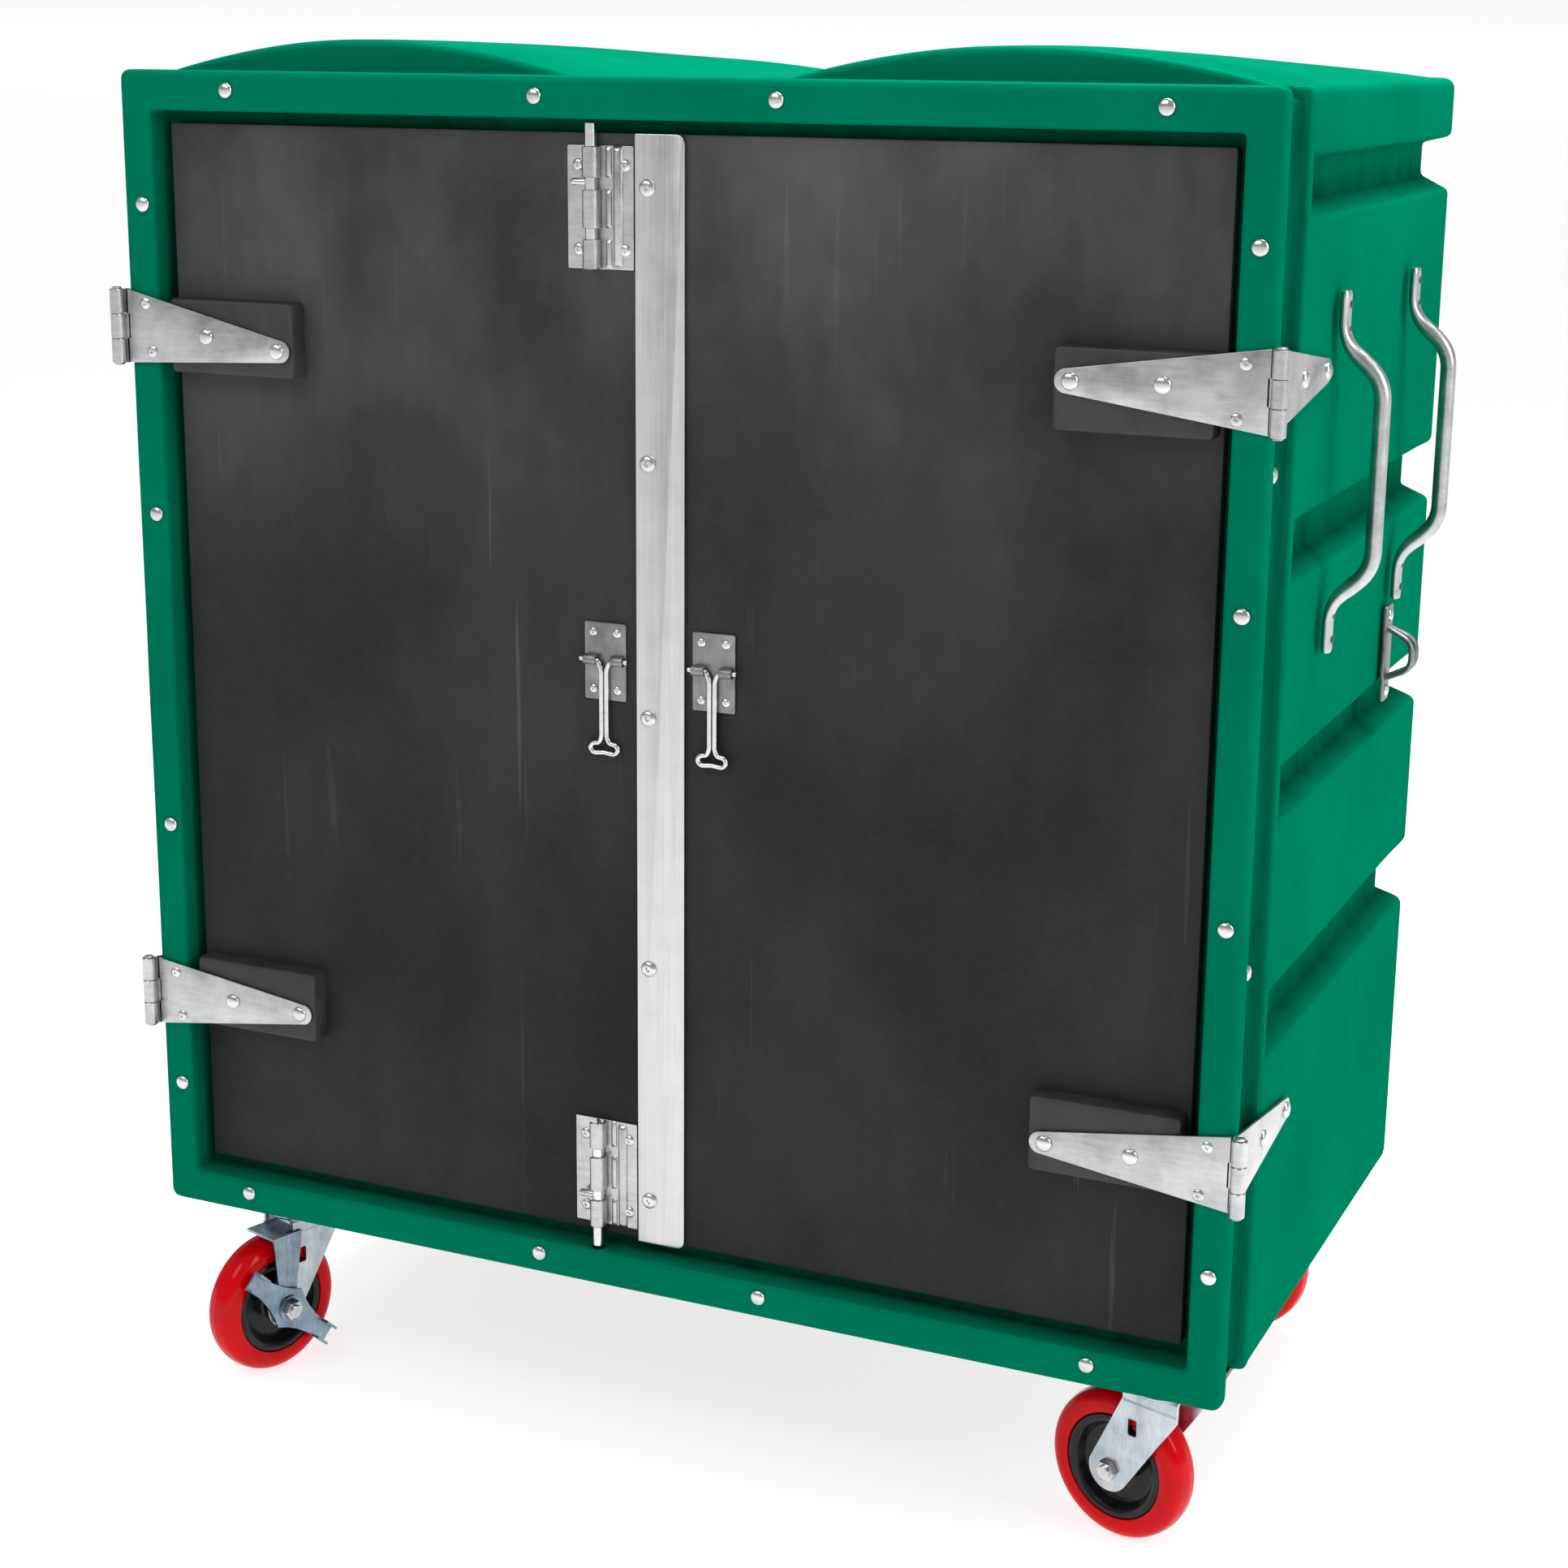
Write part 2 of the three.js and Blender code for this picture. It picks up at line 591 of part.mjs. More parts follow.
function buildBasePlate() {
  const top = BODY_Z - TOUCH_GAP;
  const plate = block(BASE.inset, BODY_W - BASE.inset, BASE.inset, BODY_D - 24, top - BASE.thickness, top);
  addMesh(cart, "base_plate", plate, "blackSteel");
}

function forkLeg(y) {
  const shape = new THREE.Shape();
  const { trail, wheelR } = CASTER;
  shape.moveTo(-25, FORK.crown + 3.2);
  shape.lineTo(-25, FORK.crown - 14);
  shape.absarc(trail, wheelR, FORK.footR, 1.2 * Math.PI, 2.05 * Math.PI);
  shape.lineTo(26, FORK.crown - 4);
  shape.lineTo(26, FORK.crown + 3.2);
  const slot = roundedRectangle(12, 20, 100, 114, [0, 0, 0, 0]);
  shape.holes.push(slot);
  return frontPlate(shape, y, FORK.outside - FORK.inside);
}

function buildFork(swivel, prefix) {
  const { trail, wheelR, top } = CASTER;
  const fork = join(
    forkLeg(FORK.inside),
    forkLeg(-FORK.outside),
    block(-25, 26, -FORK.outside, FORK.outside, FORK.crown, FORK.crown + 3.2),
    bar([0, 0, FORK.crown], [0, 0, top - 10], 27, 18),
    bar([0, 0, FORK.crown], [0, 0, top - 4.4], 8, 12),
  );
  const bore = bar([trail, -30, wheelR], [trail, 30, wheelR], FORK.boreR, 16);
  addMesh(swivel, prefix + "_fork", fork.subtract(bore), "zinc");
}

function buildWheel(swivel, prefix) {
  const { trail, wheelR, wheelW, coreR } = CASTER;
  const half = wheelW / 2;
  const tyre = turned(
    [
      [coreR, -half + 0.8],
      [wheelR - 7, -half],
      [wheelR - 2, -half + 2.8],
      [wheelR, -half + 8],
      [wheelR, half - 8],
      [wheelR - 2, half - 2.8],
      [wheelR - 7, half],
      [coreR, half - 0.8],
      [coreR, -half + 0.8],
    ],
    32,
  );
  const rim = coreR - 0.4;
  const hubR = 14;
  const bore = FORK.boreR + 0.1;
  const core = turned(
    [
      [bore, -17.6],
      [hubR, -17.6],
      [hubR + 2, -6],
      [rim - 11, -5],
      [rim - 8, -half + 2.4],
      [rim, -half + 1.4],
      [rim, half - 1.4],
      [rim - 8, half - 2.4],
      [rim - 11, 5],
      [hubR + 2, 6],
      [hubR, 17.6],
      [bore, 17.6],
      [bore, -17.6],
    ],
    24,
  );
  const place = (mesh) => mesh.position.set(trail, 0, wheelR);
  place(addMesh(swivel, prefix + "_tyre", tyre, "redTyre"));
  place(addMesh(swivel, prefix + "_wheel_core", core, "core"));
}

function buildAxle(swivel, prefix, outerFace) {
  const { trail, wheelR } = CASTER;
  const at = (y) => [trail, y, wheelR];
  const inner = -FORK.outside - GAP;
  const outer = outerFace + GAP;
  const axle = join(
    bar(at(inner - 1), at(outer + 1), 5.8, 16),
    bar(at(inner - 6), at(inner), 9.3, 6),
    bar(at(outer), at(outer + 6), 9.3, 6),
  );
  addMesh(swivel, prefix + "_axle_bolt", axle, "zinc");
}

function buildCasterPlate(parent, prefix) {
  const { plateW, plateD, top } = CASTER;
  const geometry = new THREE.ExtrudeGeometry(
    roundedRectangle(-plateW / 2, plateW / 2, -plateD / 2, plateD / 2, [6, 6, 6, 6]),
    { depth: 3.2, curveSegments: 3, bevelEnabled: false },
  ).translate(0, 0, top - 3.2);
  const cup = pipe([0, 0, top - 9.6], [0, 0, top - 3], 30, 8.6, 18);
  addMesh(parent, prefix + "_caster_plate", join(solid(geometry), cup), "zinc");
}

// The side brake: a two-ended pedal on the axle, and an arm that pulls its shoe onto the tyre.
function buildBrake(swivel) {
  const { trail, wheelR } = CASTER;
  const { pedalReach: reach, hubHalf, waistHalf, tipHalf } = BRAKE;
  const pedalFace = FORK.outside + 4;
  const sheet = 2.2;
  const shape = new THREE.Shape();
  shape.moveTo(0, hubHalf);
  for (const side of [1, -1]) {
    shape.quadraticCurveTo(side * 18, side * waistHalf, side * (reach - 12), side * tipHalf);
    shape.lineTo(side * (reach - 12), -side * tipHalf);
    shape.quadraticCurveTo(side * 18, -side * waistHalf, 0, -side * hubHalf);
  }
  const tip = (side) => {
    const ends = [side * (reach - 14), side * reach].sort((a, b) => a - b);
    const hollow = [side * (reach - 20), side * (reach + 1)].sort((a, b) => a - b);
    return cut(
      block(...ends, pedalFace, pedalFace + 9, -tipHalf - 1, tipHalf + 1),
      block(...hollow, pedalFace + sheet, pedalFace + 12, sheet - tipHalf - 1, tipHalf + 1 - sheet),
    );
  };
  const blade = join(frontPlate(shape, pedalFace, sheet), tip(1), tip(-1));
  const boss = bar([0, pedalFace - 0.8, 0], [0, pedalFace + 4, 0], 12);
  const bore = bar([0, 0, 0], [0, 60, 0], FORK.boreR + 0.1);
  const pedal = addMesh(swivel, "brake_pedal", join(blade, boss).subtract(bore), "zinc");
  pedal.position.set(trail, 0, wheelR);
  pedal.rotation.y = THREE.MathUtils.degToRad(BRAKE.pedalAngle);
  const armFace = FORK.outside + 0.5;
  const shoeZ = 2 * wheelR + BRAKE.shoeLift;
  const outline = new THREE.Shape();
  outline.moveTo(trail - 11, wheelR + 13);
  outline.lineTo(trail + 8, wheelR + 13);
  outline.lineTo(trail + 13, shoeZ + 2.4);
  outline.lineTo(trail - 19, shoeZ + 2.4);
  const arm = join(
    frontPlate(outline, armFace, sheet),
    block(trail - 19, trail + 13, -14, armFace + 1, shoeZ, shoeZ + 2.4),
  ).subtract(block(-30, 32, FORK.inside - 1, FORK.outside + 0.4, shoeZ - 9, shoeZ + 9));
  addMesh(swivel, "brake_arm", arm, "zinc");
  return pedalFace + 4;
}

function buildCaster({ name, x, y, trailAngle, brake }) {
  const mount = new THREE.Group();
  mount.position.set(x, y, 0);
  cart.add(mount);
  buildCasterPlate(mount, name);
  const swivel = new THREE.Group();
  swivel.rotation.z = THREE.MathUtils.degToRad(trailAngle);
  mount.add(swivel);
  buildFork(swivel, name);
  buildWheel(swivel, name);
  const outerFace = brake ? buildBrake(swivel) : FORK.outside;
  buildAxle(swivel, name, outerFace);
}

// ---- Assembly ----

buildBody();
buildDoorFrame();
buildShelves();
buildDoors();
buildHinges();
buildBolt("top", BODY_H - RIM.top - BOLT.tipGap, 1);
buildBolt("bottom", RIM.bottom + BOLT.tipGap, -1);
buildPull("left", BODY_W / 2 - PULL.offset);
buildPull("right", BODY_W / 2 + PULL.offset);
buildHandle("front_side_handle", HANDLE_DEPTHS.front);
buildHandle("rear_side_handle", HANDLE_DEPTHS.rear);
buildStaple();
buildBasePlate();
CASTERS.forEach(buildCaster);

cart.updateMatrixWorld(true);
const box = new THREE.Box3().setFromObject(cart, true);
cart.position.set(-(box.min.x + box.max.x) / 2, -(box.min.y + box.max.y) / 2, -box.min.z);

export default cart;
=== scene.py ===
import json
import math

import bmesh
import bpy
from mathutils import Matrix, Vector, noise


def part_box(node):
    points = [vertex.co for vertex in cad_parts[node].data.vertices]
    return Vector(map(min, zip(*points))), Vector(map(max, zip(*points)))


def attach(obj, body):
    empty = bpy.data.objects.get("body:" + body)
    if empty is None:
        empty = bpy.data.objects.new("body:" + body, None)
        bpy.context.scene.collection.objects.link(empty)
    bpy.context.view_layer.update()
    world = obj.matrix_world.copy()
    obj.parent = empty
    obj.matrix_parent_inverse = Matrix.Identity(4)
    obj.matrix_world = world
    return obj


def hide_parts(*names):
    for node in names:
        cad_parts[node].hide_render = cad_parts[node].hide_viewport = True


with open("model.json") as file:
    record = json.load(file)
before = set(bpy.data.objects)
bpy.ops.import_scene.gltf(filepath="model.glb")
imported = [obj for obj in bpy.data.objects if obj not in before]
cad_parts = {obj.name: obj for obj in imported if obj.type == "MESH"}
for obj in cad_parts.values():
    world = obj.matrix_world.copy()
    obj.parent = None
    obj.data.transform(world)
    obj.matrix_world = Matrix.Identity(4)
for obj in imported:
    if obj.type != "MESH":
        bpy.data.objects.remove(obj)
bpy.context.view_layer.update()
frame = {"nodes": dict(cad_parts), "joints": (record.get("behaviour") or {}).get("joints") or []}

# A moulded housekeeping cart: green cabinet, two charcoal doors, zinc hardware, four red casters.
# Lengths below are in millimetres from the cabinet's front left bottom corner unless said otherwise.
MM = 0.001
CORNER, FAR_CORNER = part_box("body_shell")
W = (FAR_CORNER.x - CORNER.x) / MM
D = (FAR_CORNER.y - CORNER.y) / MM
H = 980  # to the rim's top: the lid's crowns stand above it
WALL = 6
WELD = 1e-6
EASED_ANGLE = 32

RIM = {"width": 28.5, "step_y": 31, "lip": 46.5, "more_below": 1.5, "more_above": 3.5}
NECK = {"inset": 9.5, "front": 17.5, "back": 75}
RIDGE = {"front": 76.5, "back": 86}
CHANNELS = ((252, 309), (440, 486), (621, 671), (886, 931))
CHANNEL_DEPTH = 20
DOMES = {"front": 48, "back": 562, "half": 188, "offset": 276.5, "rise": 25.5, "rear_rise": 11}

CAMERA_PLACE = (1458.9, -1932.9, 1013.1)
CAMERA_YAW = 24.7
CAMERA_PITCH = -14.4
CAMERA_ROLL = 0.4
CAMERA_LENS = 65.27
CAMERA_SHIFT = (0.0201, -0.0146)
AMBIENT = 0.40
HORIZON_FADE = 8
FLOOR_HALF = 40

HANDLE = {"tube": 6.4, "stand_off": 36, "top": 830, "bottom": 556, "foot": 38, "lean": 28}
BOLT = {"x": 427, "rod": 4.8, "left": 404, "right": 460.5, "length": 92.5, "below_tip": 18.3}
BOLT_BORE = 5.6
FRONT = (0, -1, 0)
STAND_UP = Matrix.Rotation(math.pi / 2, 4, "X")
TURN_OVER = Matrix.Rotation(math.pi, 4, "X")


def extent(node):
    """The lowest and highest corners of a CAD node's box, from the cabinet's corner."""
    return [(corner - CORNER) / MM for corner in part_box(node)]


def middle(node):
    """The middle of a CAD node's box, from the cabinet's corner."""
    low, high = extent(node)
    return (low + high) / 2


def spot(x, y, z):
    """A point given from the cabinet's corner, in the frame's metres."""
    return CORNER + Vector((x, y, z)) * MM


def moved(x, y, z):
    """The matrix that moves a mesh by millimetres."""
    return Matrix.Translation(Vector((x, y, z)) * MM)


# ---- Camera, floor and light ----


def set_camera():
    data = bpy.data.cameras.new("camera")
    data.sensor_width = 36
    data.lens = CAMERA_LENS
    data.shift_x, data.shift_y = CAMERA_SHIFT
    data.clip_end = 200
    camera = bpy.data.objects.new("camera", data)
    bpy.context.scene.collection.objects.link(camera)
    yaw, pitch = math.radians(CAMERA_YAW), math.radians(CAMERA_PITCH)
    turn = Matrix.Rotation(yaw, 4, "Z") @ Matrix.Rotation(math.pi / 2 + pitch, 4, "X")
    turn = turn @ Matrix.Rotation(math.radians(CAMERA_ROLL), 4, "Z")
    camera.matrix_world = Matrix.Translation(spot(*CAMERA_PLACE)) @ turn
    bpy.context.scene.camera = camera


def softbox(name, place, target, size, power):
    data = bpy.data.lights.new(name, "AREA")
    data.shape = "RECTANGLE"
    data.size, data.size_y = size
    data.energy = power
    lamp = bpy.data.objects.new(name, data)
    bpy.context.scene.collection.objects.link(lamp)
    lamp.location = place
    lamp.rotation_euler = (Vector(target) - Vector(place)).to_track_quat("-Z", "Y").to_euler()


def set_studio():
    world = bpy.data.worlds.new("studio")
    bpy.context.scene.world = world
    world.use_nodes = True
    tree = world.node_tree
    background = tree.nodes["Background"]
    background.inputs["Color"].default_value = (1, 1, 1, 1)
    split = tree.nodes.new("ShaderNodeSeparateXYZ")
    tree.links.new(tree.nodes.new("ShaderNodeTexCoord").outputs["Generated"], split.inputs[0])
    horizon = (1 - Wire(tree, split.outputs["Z"]) * HORIZON_FADE).clamped()
    tree.links.new((AMBIENT + horizon * (1 - AMBIENT)).socket, background.inputs["Strength"])
    softbox("key", (-1.0, -2.4, 3.0), (0, 0, 1.2), (2.4, 1.4), 36)
    softbox("side", (3.4, -0.6, 2.2), (0.3, 0, 0.7), (1.6, 2.2), 54)
    softbox("top", (0.4, 0.6, 3.2), (0, 0, 0.9), (2.4, 1.8), 150)
    bpy.context.scene.view_settings.view_transform = "Standard"
    edges = [[(x, y, 0) for x in (-FLOOR_HALF, FLOOR_HALF)] for y in (-FLOOR_HALF, FLOOR_HALF)]
    floor = shape_of("floor", [grid_skin(edges)])
    floor.data.materials.append(PALE_FLOOR)


# ---- Meshes ----


def finished_mesh(bm):
    """Welds a sketch, turns its faces outwards and returns it as a mesh."""
    bmesh.ops.remove_doubles(bm, verts=bm.verts, dist=WELD)
    bmesh.ops.recalc_face_normals(bm, faces=bm.faces)
    mesh = bpy.data.meshes.new("skin")
    bm.to_mesh(mesh)
    bm.free()
    return mesh


def skin(rows, wrap=True, ends=True):
    """A closed skin over rows of points. wrap joins each row's end to its start."""
    bm = bmesh.new()
    made = [[bm.verts.new(p) for p in row] for row in rows]
    count = len(rows[0])
    for lower, upper in zip(made, made[1:]):
        for i in range(count if wrap else count - 1):
            j = (i + 1) % count
            bm.faces.new((lower[i], lower[j], upper[j], upper[i]))
    if ends:
        bm.faces.new(made[0][::-1])
        bm.faces.new(made[-1])
    return finished_mesh(bm)


def grid_skin(rows):
    return skin(rows, wrap=False, ends=False)


def placed(mesh, matrix):
    mesh.transform(matrix)
    if matrix.determinant() < 0:
        mesh.flip_normals()
    return mesh


def shape_of(name, meshes):
    """One object from several meshes."""
    bm = bmesh.new()
    for mesh in meshes:
        bm.from_mesh(mesh)
    whole = bpy.data.meshes.new(name)
    bm.to_mesh(whole)
    bm.free()
    obj = bpy.data.objects.new(name, whole)
    bpy.context.scene.collection.objects.link(obj)
    return obj


def shaded_smooth(mesh):
    mesh.polygons.foreach_set("use_smooth", [True] * len(mesh.polygons))


def piece(name, meshes, finish, body, stands_for=(), angle=EASED_ANGLE):
    """A finished piece that rides on a body. Its shading stays sharp across edges over the angle."""
    obj = shape_of(name, meshes)
    shaded_smooth(obj.data)
    obj.data.set_sharp_from_angle(angle=math.radians(angle))
    obj.data.materials.append(finish)
    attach(obj, body)
    if stands_for:
        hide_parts(*stands_for)
    return obj


def bend(start, corner, end, steps):
    """Points along a short curve that rounds a corner."""
    shares = [k / steps for k in range(steps + 1)]
    return [start.lerp(corner, t).lerp(corner.lerp(end, t), t) for t in shares]


def eased(corners, steps=4, closed=True):
    """An outline whose corners (x, y, radius) are rounded with short arcs."""
    count = len(corners)
    points = []
    for i, (x, y, radius) in enumerate(corners):
        here = Vector((x, y))
        if radius <= 0 or (not closed and i in (0, count - 1)):
            points.append((x, y))
            continue
        before = Vector(corners[i - 1][:2]) - here
        after = Vector(corners[(i + 1) % count][:2]) - here
        half = before.angle(after) / 2
        cut = min(radius / math.tan(half), before.length * 0.49, after.length * 0.49)
        start = here + before.normalized() * cut
        end = here + after.normalized() * cut
        points += [(point.x, point.y) for point in bend(start, here, end, steps)]
    return points


def rounded_box(left, low, right, high, radii, steps=4):
    """A rectangle with rounded corners: one radius, or four from the lower left."""
    radii = radii if isinstance(radii, tuple) else (radii,) * 4
    corners = ((left, low), (right, low), (right, high), (left, high))
    return eased([(x, y, radius) for (x, y), radius in zip(corners, radii)], steps)


def plate(outlines, thickness, edge):
    """A flat plate in X and Y, centred on its plane: a rim and any holes, with eased edges."""
    curve = bpy.data.curves.new("outline", "CURVE")
    curve.dimensions = "2D"
    curve.fill_mode = "BOTH"
    curve.extrude = (thickness / 2 - edge) * MM
    curve.bevel_depth = edge * MM
    curve.bevel_resolution = 1
    curve.offset = -edge * MM
    for points in outlines:
        spline = curve.splines.new("POLY")
        spline.points.add(len(points) - 1)
        spline.use_cyclic_u = True
        for target, (x, y) in zip(spline.points, points):
            target.co = (x * MM, y * MM, 0, 1)
    sketch = bpy.data.objects.new("outline", curve)
    mesh = bpy.data.meshes.new_from_object(sketch)
    bpy.data.objects.remove(sketch)
    bm = bmesh.new()
    bm.from_mesh(mesh)
    return finished_mesh(bm)


def turned(profile, steps=32):
    """A round piece about Z from (radius, z) points. Radii of 0 close it on its axis."""
    rows = []
    for k in range(steps):
        a = 2 * math.pi * k / steps
        rows.append([Vector((r * math.cos(a), r * math.sin(a), z)) * MM for r, z in profile])
    rows.append(rows[0])
    return grid_skin([list(row) for row in zip(*rows)])


def swept(path, sections, sides=12):
    """A bar along a path. Each section gives its half width along Y, and its half depth."""
    side = Vector((0, 1, 0))
    rows = []
    last = len(path) - 1
    for i, point in enumerate(path):
        along = (path[min(i + 1, last)] - path[max(i - 1, 0)]).normalized()
        up = along.cross(side)
        half_width, half_depth = sections(i / last)
        turns = [2 * math.pi * k / sides for k in range(sides)]
        offsets = [side * (half_width * math.cos(a)) + up * (half_depth * math.sin(a)) for a in turns]
        rows.append([point + offset * MM for offset in offsets])
    return skin(rows)


def eased_path(points, radius, spacing):
    """A path through points in space, with rounded corners, at even steps."""
    stops = [Vector(p) for p in points]
    path = [stops[0]]
    for before, here, after in zip(stops, stops[1:], stops[2:]):
        back, on = before - here, after - here
        cut = min(radius, back.length * 0.49, on.length * 0.49)
        path += bend(here + back.normalized() * cut, here, here + on.normalized() * cut, 8)
    path.append(stops[-1])
    even = [path[0]]
    for a, b in zip(path, path[1:]):
        steps = max(1, round((b - a).length / spacing))
        even.extend(a.lerp(b, (k + 1) / steps) for k in range(steps))
    return [spot(*p) for p in even]


def facing(place, outward, up=(0, 0, 1)):
    """The matrix that puts a piece drawn in X, Y with its face towards +Z onto a place, facing outward."""
    out = Vector(outward).normalized()
    right = Vector(up).cross(out).normalized()
    turn = Matrix((right, out.cross(right), out)).transposed().to_4x4()
    return Matrix.Translation(spot(*place)) @ turn


# ---- Shader expressions ----


def connect(tree, socket, value):
    """Puts a number, a colour or a wire on a socket."""
    if isinstance(value, Wire):
        tree.links.new(value.socket, socket)
    else:
        socket.default_value = value


class Wire:
    """A value in a material. Sums of wires and numbers add the Math nodes that work them out."""

    def __init__(self, tree, socket):
        self.tree = tree
        self.socket = socket

    def _with(self, operation, *values):
        node = self.tree.nodes.new("ShaderNodeMath")
        node.operation = operation
        for socket, value in zip(node.inputs, values):
            connect(self.tree, socket, value)
        return Wire(self.tree, node.outputs[0])

    def __add__(self, other):
        return self._with("ADD", self, other)

    def __radd__(self, other):
        return self._with("ADD", other, self)

    def __sub__(self, other):
        return self._with("SUBTRACT", self, other)

    def __rsub__(self, other):
        return self._with("SUBTRACT", other, self)

    def __mul__(self, other):
        return self._with("MULTIPLY", self, other)

    def __rmul__(self, other):
        return self._with("MULTIPLY", other, self)

    def clamped(self):
        node = self._with("ADD", self, 0.0)
        node.socket.node.use_clamp = True
        return node


class Finish:
    """A material made of nodes round one Principled shader."""

    def __init__(self, name, **uniform):
        self.material = bpy.data.materials.new(name)
        self.material.use_nodes = True
        self.tree = self.material.node_tree
        self.shader = self.tree.nodes["Principled BSDF"]
        for socket, value in uniform.items():
            self.shader.inputs[socket.replace("_", " ")].default_value = value

    def node(self, kind, settings=None, inputs=None, output=0):
        """Any node, by type, settings and the values or wires of its sockets."""
        node = self.tree.nodes.new(kind)
        for key, value in (settings or {}).items():
            if key == "stops":
                while len(node.color_ramp.elements) < len(value):
                    node.color_ramp.elements.new(0.5)
                for element, (position, level) in zip(node.color_ramp.elements, value):
                    element.position = position
                    element.color = (level, level, level, 1)
            else:
                setattr(node, key, value)
        for key, value in (inputs or {}).items():
            connect(self.tree, node.inputs[key], value)
        return Wire(self.tree, node.outputs[output])

    def place(self):
        return self.node("ShaderNodeTexCoord", output="Object")

    def stretched(self, scale):
        """Places on the object with each axis scaled, for streaks and grain."""
        return self.node("ShaderNodeMapping", inputs={"Vector": self.place(), "Scale": scale})

    def speckle(self, scale, stretch=(1, 1, 1), detail=3.0, roughness=0.55):
        settings = {"Vector": self.stretched(stretch), "Scale": scale, "Detail": detail}
        return self.node("ShaderNodeTexNoise", inputs={**settings, "Roughness": roughness})

    def ramp(self, value, *stops):
        return self.node("ShaderNodeValToRGB", {"stops": stops}, {"Fac": value})

    def blend(self, share, first, second):
        inputs = {0: share, 6: first, 7: second}
        return self.node("ShaderNodeMix", {"data_type": "RGBA"}, inputs, output=2)

    def along(self, axis):
        return self.node("ShaderNodeSeparateXYZ", inputs={0: self.place()}, output=axis)

    def bumps(self, height, strength, distance, under=None):
        inputs = {"Height": height, "Strength": strength, "Distance": distance}
        if under:
            inputs["Normal"] = under
        return self.node("ShaderNodeBump", inputs=inputs)

    def feed(self, **varying):
        for socket, wire in varying.items():
            self.tree.links.new(wire.socket, self.shader.inputs[socket.replace("_", " ")])
        return self.material


def shade(red, green, blue):
    """A colour given in 0-255 screen values."""
    def linear(c):
        c = c / 255
        return c / 12.92 if c <= 0.04045 else ((c + 0.055) / 1.055) ** 2.4
    return (linear(red), linear(green), linear(blue), 1)


def moulded_green():
    """Rotationally moulded polyethylene: soft sheen, cloudy colour, fine orange peel, handling marks and
    painted shade in its hollows.
    """
    sheen = shade(0, 205, 160)
    f = Finish("moulded_green", IOR=1.46, Metallic=0.12, Specular_IOR_Level=0.0, Specular_Tint=sheen)
    clouds = f.speckle(5, detail=4)
    grain = f.speckle(60, detail=5, roughness=0.6)
    scuffs = f.ramp(f.speckle(26, (1, 1, 0.12), 6, 0.7), (0.62, 0), (0.78, 1))
    colour = f.blend(f.ramp(clouds, (0.3, 0), (0.7, 1)), shade(0, 106, 78), shade(0, 119, 88))
    colour = f.blend(grain * 0.24, colour, shade(0, 90, 65))
    colour = f.blend(scuffs * 0.10, colour, shade(0, 168, 126))
    # Painted shade: the neck, the cove behind the rim and the lower walls of the channels get a darker green,
    # broken up by a speckle, standing in for the shade that falls there.
    shelter = f.node("ShaderNodeAttribute", {"attribute_name": "shelter"}, output=2)
    shade_speckle = f.ramp(f.speckle(34, (1, 1, 0.35), 4, 0.7), (0.35, 0.6), (0.65, 1))
    colour = f.blend(shelter * shade_speckle * 0.72, colour, shade(0, 56, 40))
    sway = f.bumps(f.speckle(3.2, (1, 1, 0.6), 2), 0.35, 0.010)
    peel = f.bumps(f.speckle(420, detail=2), 0.10, 0.0006, sway)
    rough = f.ramp(grain, (0.25, 0.36), (0.8, 0.50)) + scuffs * 0.08
    return f.feed(Base_Color=colour, Roughness=rough, Normal=peel)


def charcoal_sheet():
    """Charcoal polyethylene sheet with cloudy wiping marks, long scratches and pale scuffs, and painted shade
    that darkens it lower down.
    """
    f = Finish("charcoal_sheet", IOR=1.46, Specular_IOR_Level=0.08)
    clouds = f.speckle(4.2, (1, 1, 0.7), 6, 0.62)
    runs = f.speckle(16, (1, 1, 0.14), 5, 0.65)
    dust = f.speckle(240, detail=3)
    fine = f.ramp(f.speckle(150, (1, 1, 0.03), 2, 0.3), (0.70, 0), (0.72, 1))
    slanted = f.node(
        "ShaderNodeMapping",
        inputs={"Vector": f.place(), "Rotation": (0, math.radians(62), 0), "Scale": (1, 1, 0.03)},
    )
    slanting = f.node("ShaderNodeTexNoise", inputs={"Vector": slanted, "Scale": 130, "Detail": 1})
    cross = f.ramp(slanting, (0.74, 0), (0.755, 1))
    scratches = (fine * 0.5 + cross * 0.6) * f.ramp(clouds, (0.45, 0), (0.62, 1))
    colour = f.blend(f.ramp(clouds, (0.36, 0), (0.64, 1)), shade(47, 47, 48), shade(82, 82, 83))
    colour = f.blend(f.ramp(runs, (0.42, 0), (0.75, 1)) * 0.35, colour, shade(38, 38, 39))
    # Painted shade: the sheet is darkened towards the bottom, standing in for light that falls off lower
    # down.
    low = f.ramp(f.along("Z"), (0.25, 1), (0.74, 0.86), (1.10, 0))
    colour = f.blend(low * (1.0 - clouds * 0.35), colour, shade(26, 26, 27))
    colour = f.blend(dust * 0.12, colour, shade(88, 88, 88))
    colour = f.blend(scratches.clamped() * 0.20, colour, shade(130, 130, 130))
    rough = f.ramp(runs, (0.3, 0.46), (0.8, 0.62))
    pits = f.bumps(f.speckle(700, detail=2) - scratches * 0.4, 0.12, 0.0004)
    return f.feed(Base_Color=colour, Roughness=rough, Normal=pits)


def black_block():
    """Black polyethylene block, softly worn."""
    f = Finish("black_block", IOR=1.46)
    patches = f.speckle(30, (1, 1, 0.5), 5)
    colour = f.blend(f.ramp(patches, (0.35, 0), (0.75, 1)), shade(30, 30, 31), shade(54, 54, 55))
    pits = f.bumps(f.speckle(500, detail=3), 0.2, 0.0005)
    return f.feed(Base_Color=colour, Roughness=f.ramp(patches, (0.3, 0.5), (0.8, 0.66)), Normal=pits)


